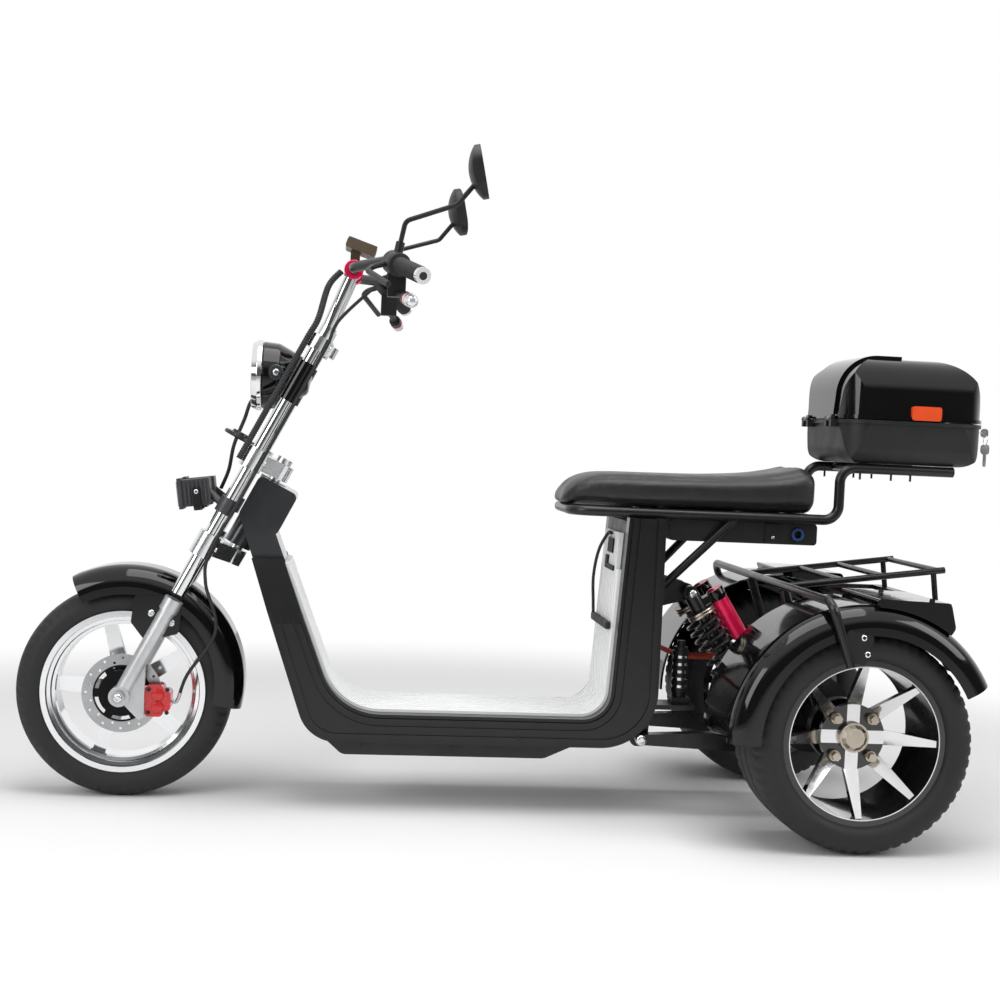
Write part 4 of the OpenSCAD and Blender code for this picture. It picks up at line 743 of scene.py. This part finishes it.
loom_y = beside_leg(LOOM_R + LOOM_WAVE, LOOM_BACK)
loom_route = [on_fork(LOOM_BACK, loom_y, up) for up in (548, 640, 740, 836, 880)]
loom_route += [on_fork(-42, -80, 950), bar_middle + [-26, -72, -6]]
lay_cord("wiring_loom", smooth_path(loom_route, 900), LOOM_R, "steering", "rubber", "hoses", LOOM_WAVE, LOOM_PITCH)

# %% Cables of the headlamp and the motor
LEAN_X, LEAN_Z = -0.574, 0.819
lamp_centre = on_fork(-86, 0, 716)
lamp_route = [lamp_centre + [67, 55.6, -27.3], lamp_centre + [52, 72, -34], lamp_centre + [20, 76, -40],
              on_fork(-72, 70, 664), on_fork(-66, 65, 620), on_fork(-58, 62, 560), on_fork(-42, 66, 508),
              on_fork(-37, 71.2, 463.4)]
lay_cord("lamp_cable", smooth_path(lamp_route, 150), 4.0, "steering", "rubber")
for number, y in enumerate((-16, 0, 16), 1):
    cable_route = rear_axle + np.array([[-360.7, y, 127], [-337, y, 127], [-271, y, 107], [-150, y, 109],
                                        [LEAN_X * 126, y, LEAN_Z * 126], [LEAN_X * 86.3, y, LEAN_Z * 86.3]])
    lay_cord(f"motor_cable_{number}", smooth_path(cable_route, 150), 5.0, "chassis", "cable_red", "motor_cables")

# %% [markdown]
# ## Strap on the seat riser
# Across the front of the seat riser lies a flat rubber strap with rounded edges, for a bag or a coat.
# It is a rounded outline carried sideways, a little smaller at its two ends, as pulled rubber is.

# %% Riser strap and its cord
RISER_FOOT_X, RISER_FOOT_Z, RISER_LEAN = -460, 206, 34.0 / 574.0
MAT_THICK = 8.8
STRAP_Z = 402.0


def soft_box(half_u, half_v, power=5.0, count=28):
    """Rounded rectangle: |u / half_u|^power + |v / half_v|^power = 1."""
    angle = circle(count)
    u, v = (np.sign(k) * np.abs(k) ** (2 / power) for k in (np.cos(angle), np.sin(angle)))
    return np.column_stack([half_u * u, half_v * v])


def riser_face(z):
    """X of the mat's ribs on the leaning seat riser at height z."""
    return rear_axle[0] + RISER_FOOT_X + (z - RISER_FOOT_Z) * RISER_LEAN - MAT_THICK


strap_y = np.linspace(-97, 95, 49)
strap_path = np.column_stack([0 * strap_y + riser_face(STRAP_Z) - 6.3, strap_y, 0 * strap_y + STRAP_Z])
strap_ends = 1 - 0.25 * ramp(np.abs(strap_y + 1), 90, 96)
riser_strap = make_piece("strap_bar", [swept(soft_box(8.6, 5.6), strap_path, REAR, strap_ends)], "chassis", "rubber")
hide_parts("riser_strap")
face = riser_face(393)
cord_route = [[face - 6, 88, 403], [face - 8, 86, 433], [face - 13, 70, 493], [face - 9, 40, 553],
              [face + 4, 8, 593], [riser_face(593) - 3.8, -12, 595]]
lay_cord("strap_cord", smooth_path(cord_route, 150), 3.5, "chassis", "rubber", "riser_strap",
         across=REAR)

# %% [markdown]
# ## Seat
# A bench seat is foam under a sewn cover. It starts as a plain form through cross sections along its
# length, a little too small, and a cloth simulation blows it up: pressure pushes the skin out until the
# weave holds it. Two seams are then pulled in, one along the top edge and one above the hem, and the
# underside is kept flat where it lies on the seat tubes.

# %% Seat form from cross sections
TUCK, SEAT_POWER = 4.0, 4.0
seat_front, _, seat_bottom = np.array(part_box("seat")[0]) / MM - [TUCK, 0, 0]
SEAT_SECTIONS = np.array([  # run from the front, half width, bottom, top
    (0, 62, 0, 15), (8, 82, 0, 32), (30, 102, 0, 53), (70, 119, 0, 65), (120, 132, 0, 69), (220, 140, 0, 70),
    (330, 140, 0, 72), (430, 139, 0, 79), (490, 137, 0, 89), (525, 135, 0, 98), (543, 130, 1, 99),
    (550, 120, 8, 92)], float)


def seat_form(sections, stations=90, around=72):
    """Rounded boxes along X: y = half * c^(2/p), z between bottom and top by s^(2/p), shrunk by TUCK but below."""
    run, half, low, top = smooth_path(sections, stations).T[:, :, None]
    angle = circle(around)[None]
    c, s = (np.sign(k) * np.abs(k) ** (2 / SEAT_POWER) for k in (np.cos(angle), np.sin(angle)))
    z = (low + top) / 2 + ((top - low) / 2 - TUCK * (np.sin(angle) > 0)) * s
    points = np.stack([seat_front + run + 0 * angle, (half - TUCK) * c, seat_bottom + z], -1)
    ends = np.broadcast_to(points[[0, -1]].mean(axis=1, keepdims=True), (2, around, 3))
    points = np.concatenate([ends[:1], points, ends[1:]])
    return points.reshape(-1, 3) * MM, grid_faces(stations + 2, around)


# %% Stuffing by cloth simulation
VOXEL, PRESSURE, MOST_SWELL, FRAMES = 0.006, 4.0, 0.006, 20


def points_of(mesh):
    """All vertices of a mesh as one array."""
    flat = np.empty(len(mesh.vertices) * 3)
    mesh.vertices.foreach_get("co", flat)
    return flat.reshape(-1, 3)


def applied(piece):
    """Mesh of an object with its modifiers worked in."""
    return bpy.data.meshes.new_from_object(piece.evaluated_get(bpy.context.evaluated_depsgraph_get()))


def stuffed(piece):
    """Points of the skin remeshed evenly and blown up, with none moved further than MOST_SWELL (metres)."""
    even = piece.modifiers.new("even_mesh", "REMESH")
    even.mode, even.voxel_size = "VOXEL", VOXEL
    mesh = applied(piece)
    piece.modifiers.clear()
    mesh.materials.clear()
    mesh.materials.append(piece.data.materials[0])
    piece.data = mesh
    rest = points_of(mesh)
    cloth = piece.modifiers.new("stuffing", "CLOTH")
    cloth.settings.use_pressure = True
    cloth.settings.uniform_pressure_force = PRESSURE
    cloth.settings.effector_weights.gravity = 0.0
    cloth.settings.quality = 4
    cloth.collision_settings.use_collision = False
    for frame_number in range(1, FRAMES + 1):
        bpy.context.scene.frame_set(frame_number)
    swell = points_of(applied(piece)) - rest
    piece.modifiers.clear()
    bpy.context.scene.frame_set(1)
    far = np.linalg.norm(swell, axis=1, keepdims=True)
    return rest + swell * np.minimum(1, MOST_SWELL / np.maximum(far, 1e-9))


seat_skin = make_piece("seat_cushion", [seat_form(SEAT_SECTIONS)], "chassis", "black_leather", NEVER_SHARP)
seat_points = stuffed(seat_skin)

# %% Seams and flat underside
EDGE_DEPTH, EDGE_AT, EDGE_WIDTH = 2.4, 0.10, 0.035
HEM_DEPTH, HEM_UP, HEM_WIDTH = 2.0, 13, 2.6
TUBE_GAP = 0.2
run_mm = seat_points[:, 0] / MM - seat_front
height = seat_points[:, 2] / MM - seat_bottom
half_line, low_line, top_line = (np.interp(run_mm, SEAT_SECTIONS[:, 0], line) for line in SEAT_SECTIONS.T[1:])
side_share = np.abs(seat_points[:, 1]) / MM / half_line
rise_share = (height - (low_line + top_line) / 2) / ((top_line - low_line) / 2)
edge_seam = np.exp(-((side_share - rise_share - EDGE_AT) / EDGE_WIDTH) ** 2) * ramp(rise_share, 0.4, 0.6)
hem_seam = np.exp(-((height - low_line - HEM_UP) / HEM_WIDTH) ** 2) * ramp(side_share, 0.75, 0.9)
inward = unit(np.column_stack([0 * run_mm, side_share * np.sign(seat_points[:, 1]), rise_share]))
seat_points = seat_points - inward * (EDGE_DEPTH * edge_seam + HEM_DEPTH * hem_seam)[:, None] * MM
seat_points[:, 2] = np.maximum(seat_points[:, 2], (seat_bottom + TUBE_GAP) * MM)
seat_skin.data.vertices.foreach_set("co", seat_points.ravel())
seat_skin.data.polygons.foreach_set("use_smooth", np.ones(len(seat_skin.data.polygons), bool))
seat_skin.data.update()
smoother = seat_skin.modifiers.new("smooth", "SUBSURF")
smoother.levels = smoother.render_levels = 1
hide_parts("seat")
print("seat points:", len(seat_points))

# %% [markdown]
# ## Bolts
# Button-head bolts hold the mudguard, clamps, shocks and lamp. One turned profile serves them all: a low
# dome with a socket sunk in its crown. A table gives the place, the direction the head faces and its
# radius, and the heads of one body and one finish become one piece.

# %% Button-head bolts
HEAD_PROFILE = np.array([(0, -0.15), (1.0, -0.15), (1.0, 0.12), (0.93, 0.32), (0.76, 0.48), (0.52, 0.55),
                         (0.48, 0.55), (0.46, 0.20), (0, 0.20)])


def bolt_heads(name, rows, body, slot):
    """Heads at (place, facing, radius) rows; the unit profile is scaled by each radius."""
    make_piece(name, [lathe(HEAD_PROFILE * radius, place, facing, 24) for place, facing, radius in rows], body, slot)


shock_top = rear_axle + [-281, 0, 253]
shock_low = rear_axle + [-148, 0, 45]
steering_bolts = [(on_fork(24.2, side * 95, up), fork_back, 5.5) for side in (-1, 1) for up in (836, 562, 358)]
steering_bolts.append((on_fork(14, 0, 848), fork_up, 13.0))
chassis_bolts = []
for side, facing in SIDES:
    steering_bolts += [(front_axle + [x, side * 74.7, z], facing, 8.0) for x, z in ((56, 170), (97, 151))]
    steering_bolts.append((lamp_centre + [44, side * 73, 5], facing, 7.5))
    steering_bolts.append((front_axle + [0, side * 126, 0], facing, 9.0))
    chassis_bolts.append(([rear_axle[0] - 388, side * 136, 165], facing, 12.0))
    flap_y = side * (rear_y + rear_half + 18)
    chassis_bolts += [([rear_axle[0] + x, flap_y, z], facing, 6.5) for x, z in ((-26, 436), (-17, 404))]
    chassis_bolts += [(end + [0, side * 93, 0], facing, 9.0) for end in (shock_top, shock_low)]
bolt_heads("steering_bolts", steering_bolts, "steering", "polished_alloy")
bolt_heads("chassis_bolts", chassis_bolts, "chassis", "polished_alloy")
caliper_bolts = [(front_axle + [x, -93, z], LEFT, 4.5) for x in (58, 96) for z in (14, -34)]
bolt_heads("caliper_bolts", caliper_bolts, "steering", "black_steel")
hinge_screws = [([694.3, side * 80 + y, 887], FRONT, 3.2) for side in (-1, 1) for y in (-4.6, 4.6)]
bolt_heads("hinge_screws", hinge_screws, "lid", "chrome")

# %% [markdown]
# ## Shock trim
# The dampers carry two gold rings that set the preload of the springs. Their gas reservoirs have a black
# band near the top and a black cap with a valve at the lower end.

# %% Preload rings and reservoir caps
SHOCK_Y, RESERVOIR_OFF = 62, 50
SHOCK_DIR = unit(shock_low - shock_top)
SHOCK_SIDE = np.array([-SHOCK_DIR[2], 0, SHOCK_DIR[0]])
ring_profile = [(30, 0), (31.6, 0), (32.2, 0.8), (32.2, 4.2), (31.6, 5), (30, 5), (30, 0)]
cap_profile = [(17.6, 0), (18.7, 0), (19.2, 0.8), (19.2, 23), (18.7, 24), (17.6, 24), (17.6, 0)]
valve_profile = [(0, -1), (17.2, -1), (17.2, 2), (15, 4), (6, 4.6), (5, 10), (0, 10)]
gold_rings, reservoir_caps = [], []
for side, _ in SIDES:
    top = shock_top + [0, side * SHOCK_Y, 0]
    gold_rings += [lathe(ring_profile, top + SHOCK_DIR * run, SHOCK_DIR, 48) for run in (45, 51.4)]
    reservoir_caps += [lathe(profile, top + SHOCK_SIDE * RESERVOIR_OFF + SHOCK_DIR * run, SHOCK_DIR)
                       for profile, run in ((cap_profile, 21), (valve_profile, 138.3))]
make_piece("preload_rings", gold_rings, "chassis", "bronze")
make_piece("reservoir_caps", reservoir_caps, "chassis", "gloss_black")

# %% [markdown]
# ## Handlebar trim
# The bar clamps are red anodised, the little screen in the middle has a bronze frame round dark glass,
# and each bar end is a bright cap with a dark socket. The indicators end in clear domes with a red band.

# %% Clamps and screen
SCREEN_TILT = np.radians(18.0)


def plate(centre, along, half_run, half_u, half_v, power, across):
    """Rounded box: a soft outline carried half_run each way from its centre."""
    path = np.asarray(centre, float) + np.outer(np.linspace(-half_run, half_run, 3), along)
    return swept(soft_box(half_u, half_v, power), path, across)


shell_profile = [(11.3, -16.6), (19, -16.6), (20.2, -15.4), (20.2, 15.4), (19, 16.6), (11.3, 16.6), (11.3, -16.6)]
make_piece("clamp_shells", [lathe(shell_profile, bar_middle + [0, y, 0], LEFT, 48) for y in (-52, 52)], "steering",
           "red_anodised")
screen_up = np.array([np.sin(SCREEN_TILT), 0, np.cos(SCREEN_TILT)])
screen_mid = bar_middle + [14, 0, 52]
for name, rise, half_run, half_u, half_v, slot in (("screen_frame", 10.6, 39, 32, 1.6, "bronze"),
                                                   ("screen_glass", 11.8, 32, 25, 0.9, "gloss_black")):
    pane = plate(screen_mid + screen_up * rise, RIGHT, half_run, half_u, half_v, 8, screen_up)
    make_piece(name, [pane], "steering", slot, SHARP_PLATE)

# %% Indicators and bar ends
lamp_arm = np.array([25.0, -93.0, -22.0])
lamp_tip = bar_end - GRIP_DIR * 142 + [5, 6, -58] + lamp_arm
dome = [(0, 17.5), (5, 16.8), (9.5, 14), (12.3, 9), (13.4, 3), (13.5, -16), (0, -16)]
band = [(13.2, -20), (13.8, -19.6), (13.8, -16.4), (13.2, -16), (13.2, -20)]
socket = [(0, 10.3), (6.5, 10.3), (7.2, 10.9), (8, 10.3), (8, 9), (0, 9)]
# The indicator domes use the lamp glass finish, whose pale colour is a painted reflection.
for name, profile, place, axis, slot in (("indicator_lenses", dome, lamp_tip, lamp_arm, "clear_lens"),
                                         ("indicator_bands", band, lamp_tip, lamp_arm, "red_lens"),
                                         ("bar_end_sockets", socket, bar_end, GRIP_DIR, "rubber")):
    make_piece(name, both_sides(profile, place, axis, 32), "steering", slot)

# %% [markdown]
# ## Seat riser, battery and box trim
# A slot and a latch lie on the seat riser's cover. The battery hangs in a folded strap and its charging
# socket has a blue ring. The box's key stays in its lock with a second key on a ring.

# %% Plates on the riser and the battery
SUNK = 0.4
riser_out = unit([-1.0, 0, RISER_LEAN])


def riser_plate(y0, y1, z0, z1, thick):
    """Rounded plate on the leaning riser, between two sides and two heights."""
    y, z = (y0 + y1) / 2, (z0 + z1) / 2
    centre = np.array([riser_face(z), y, z]) + riser_out * (thick / 2 - SUNK)
    return plate(centre, RIGHT, (y1 - y0) / 2, (z1 - z0) / 2, thick / 2, 9, riser_out)


make_piece("riser_plates", [riser_plate(-34, 22, 553, 585, 3.4), riser_plate(-66, 30, 517, 528, 4.4),
                            riser_plate(8, 30, 522, 546, 4.4)], "chassis", "rubber", SHARP_PLATE)
make_piece("battery_strap", [plate([566.5, -99.0, 612.5], REAR, 17.5, 22.4, 1.3, 9, LEFT)], "chassis",
           "black_steel", SHARP_PLATE)
bolt_heads("battery_bolts", [([566.5, -100.2, 604], LEFT, 4.0)], "chassis", "chrome")
socket_profile = [(8.2, -1), (13.6, -1), (14, 0), (13.6, 1.6), (9, 1.9), (8.2, 1.2), (8.2, -1)]
make_piece("socket_ring", [lathe(socket_profile, [620.5, -104, 612], LEFT)], "chassis", "matte_black",
           look="blue_ring")

# %% Keys and carrier pins
KEY_HOLE = np.array([1022.0, -62.0, 850.0])
RING_R = 10
lock = lathe([(0, 3), (2.2, 3), (2.6, 3.6), (8.2, 3.6), (9, 2.6), (9, -1), (0, -1)], KEY_HOLE, REAR, 32)
shank = plate(KEY_HOLE + [8, 0, 0], REAR, 7, 3.2, 1.1, 9, UP)
head = plate(KEY_HOLE + [22, 0, 0], RIGHT, 1.1, 8.5, 9.5, 3, UP)
ring_turn = np.linspace(0, 2 * np.pi, 41)
ring_round = np.column_stack([0 * ring_turn, np.sin(ring_turn), np.cos(ring_turn)])
key_ring = tube(KEY_HOLE + [25, 0, -17] + RING_R * ring_round, 0.9, 8, REAR)
hung_head = plate(KEY_HOLE + [25, 0, -36], RIGHT, 1.1, 10, 11.5, 3, UP)
hung_blade = plate(KEY_HOLE + [25, 0, -58], RIGHT, 1.0, 3.4, 16, 9, UP)
make_piece("keys", [lock, shank, head, key_ring, hung_head, hung_blade], "chassis", "polished_alloy")
carrier_pins = [tube([[x, y, z] for z in (752, 745, 737)], 2.4, 10, REAR) for x in (746, 815, 858)
                for y in (-118, 118)]
make_piece("carrier_pins", carrier_pins, "chassis", "black_steel")

# %% [markdown]
# ## Small lamps, horn and headlamp bosses
# The two small lamps are finned boxes in a U-shaped strap with a clear front. A disc horn lies on the
# front of the upper clamp, and the headlamp hangs between two round bosses.

# %% Small lamps with fins and straps
LAMP_TIP = np.radians(-8.0)
STRAP_X = -24
lamp_x = np.array([np.cos(LAMP_TIP), 0, -np.sin(LAMP_TIP)])
lamp_z = np.array([np.sin(LAMP_TIP), 0, np.cos(LAMP_TIP)])


def on_lamp(side, rows):
    """Rows of (x, y, z) in a small lamp's own directions, as places on the scooter."""
    x, y, z = np.asarray(rows, float).T[:, :, None]
    return on_fork(-50, side * 62, 458) + x * lamp_x + side * y * RIGHT + z * lamp_z


strap_half = [(32.2, 8), (32.2, -20), (32.2, -33), (28, -37.5)]
strap_line = [(STRAP_X, -y, z) for y, z in strap_half] + [(STRAP_X, 0, -37.5)]
strap_line += [(STRAP_X, y, z) for y, z in strap_half[::-1]]
fins, straps, clear_fronts, strap_screws = [], [], [], []
for side, facing in SIDES:
    fins += [swept(soft_box(2.0, 3.2), on_lamp(side, [(x, y, z) for z in (-25, 0, 21)]), RIGHT)
             for y in (-26.5, 26.5) for x in np.linspace(-47, -5, 6)]
    clear_fronts.append(plate(on_lamp(side, [(-62.8, 0, -2)])[0], facing, 24, 26, 1.6, 6, lamp_x))
    straps.append(swept(soft_box(1.5, 8.5, 8), on_lamp(side, strap_line), lamp_x))
    strap_screws.append((on_lamp(side, [(STRAP_X, 33.4, 0)])[0], facing, 5.0))
make_piece("lamp_fins", fins, "steering", "matte_black", look="aux_lamps")
make_piece("lamp_straps", straps, "steering", "black_steel", SHARP_PLATE)
# The clear fronts use the lamp glass finish, whose pale colour is a painted reflection.
make_piece("lamp_fronts", clear_fronts, "steering", "clear_lens", SHARP_PLATE)
bolt_heads("strap_screws", strap_screws, "steering", "chrome")

# %% Horn, headlamp bosses, caliper cylinders and canister bands
HORN_UP = 579.2
horn_profile = [(0, 0), (34, 0), (36, 3), (34, 8), (21, 10), (19, 15), (0, 15)]
horn_arm = plate(on_fork(-23, 0, HORN_UP + 2), fork_back, 17, 1.9, 10, 8, RIGHT)
make_piece("horn", [lathe(horn_profile, on_fork(-52, 0, HORN_UP), fork_up, 48), horn_arm], "steering",
           "black_steel")
boss_profile = [(0, -8), (15, -8), (16, -7), (16, 2), (15, 3), (0, 3)]
make_piece("lamp_bosses", both_sides(boss_profile, lamp_centre + [44, -70, 5], LEFT, 36), "steering", "dark_grey")
cylinder_profile = [(0, 4.5), (8.5, 4.5), (11.5, 3.4), (12.6, 0.8), (12.6, -2), (0, -2)]
make_piece("caliper_cylinders", [lathe(cylinder_profile, front_axle + [77, -93, z], LEFT, 36) for z in (3, -23)],
           "steering", "red_paint")
CAN_PITCH, CAN_FIRST = 16, 33
can_foot = middle("canister") * [1, 1, 0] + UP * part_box("canister")[0][2] / MM
band_profile = [(14, 0.6), (16.4, 0.6), (16.4, 6.4), (14, 6.4), (14, 0.6)]
make_piece("canister_bands", [lathe(band_profile, can_foot + UP * (CAN_FIRST + CAN_PITCH * row), UP, 36)
                              for row in range(5)], "chassis", "polished_alloy")
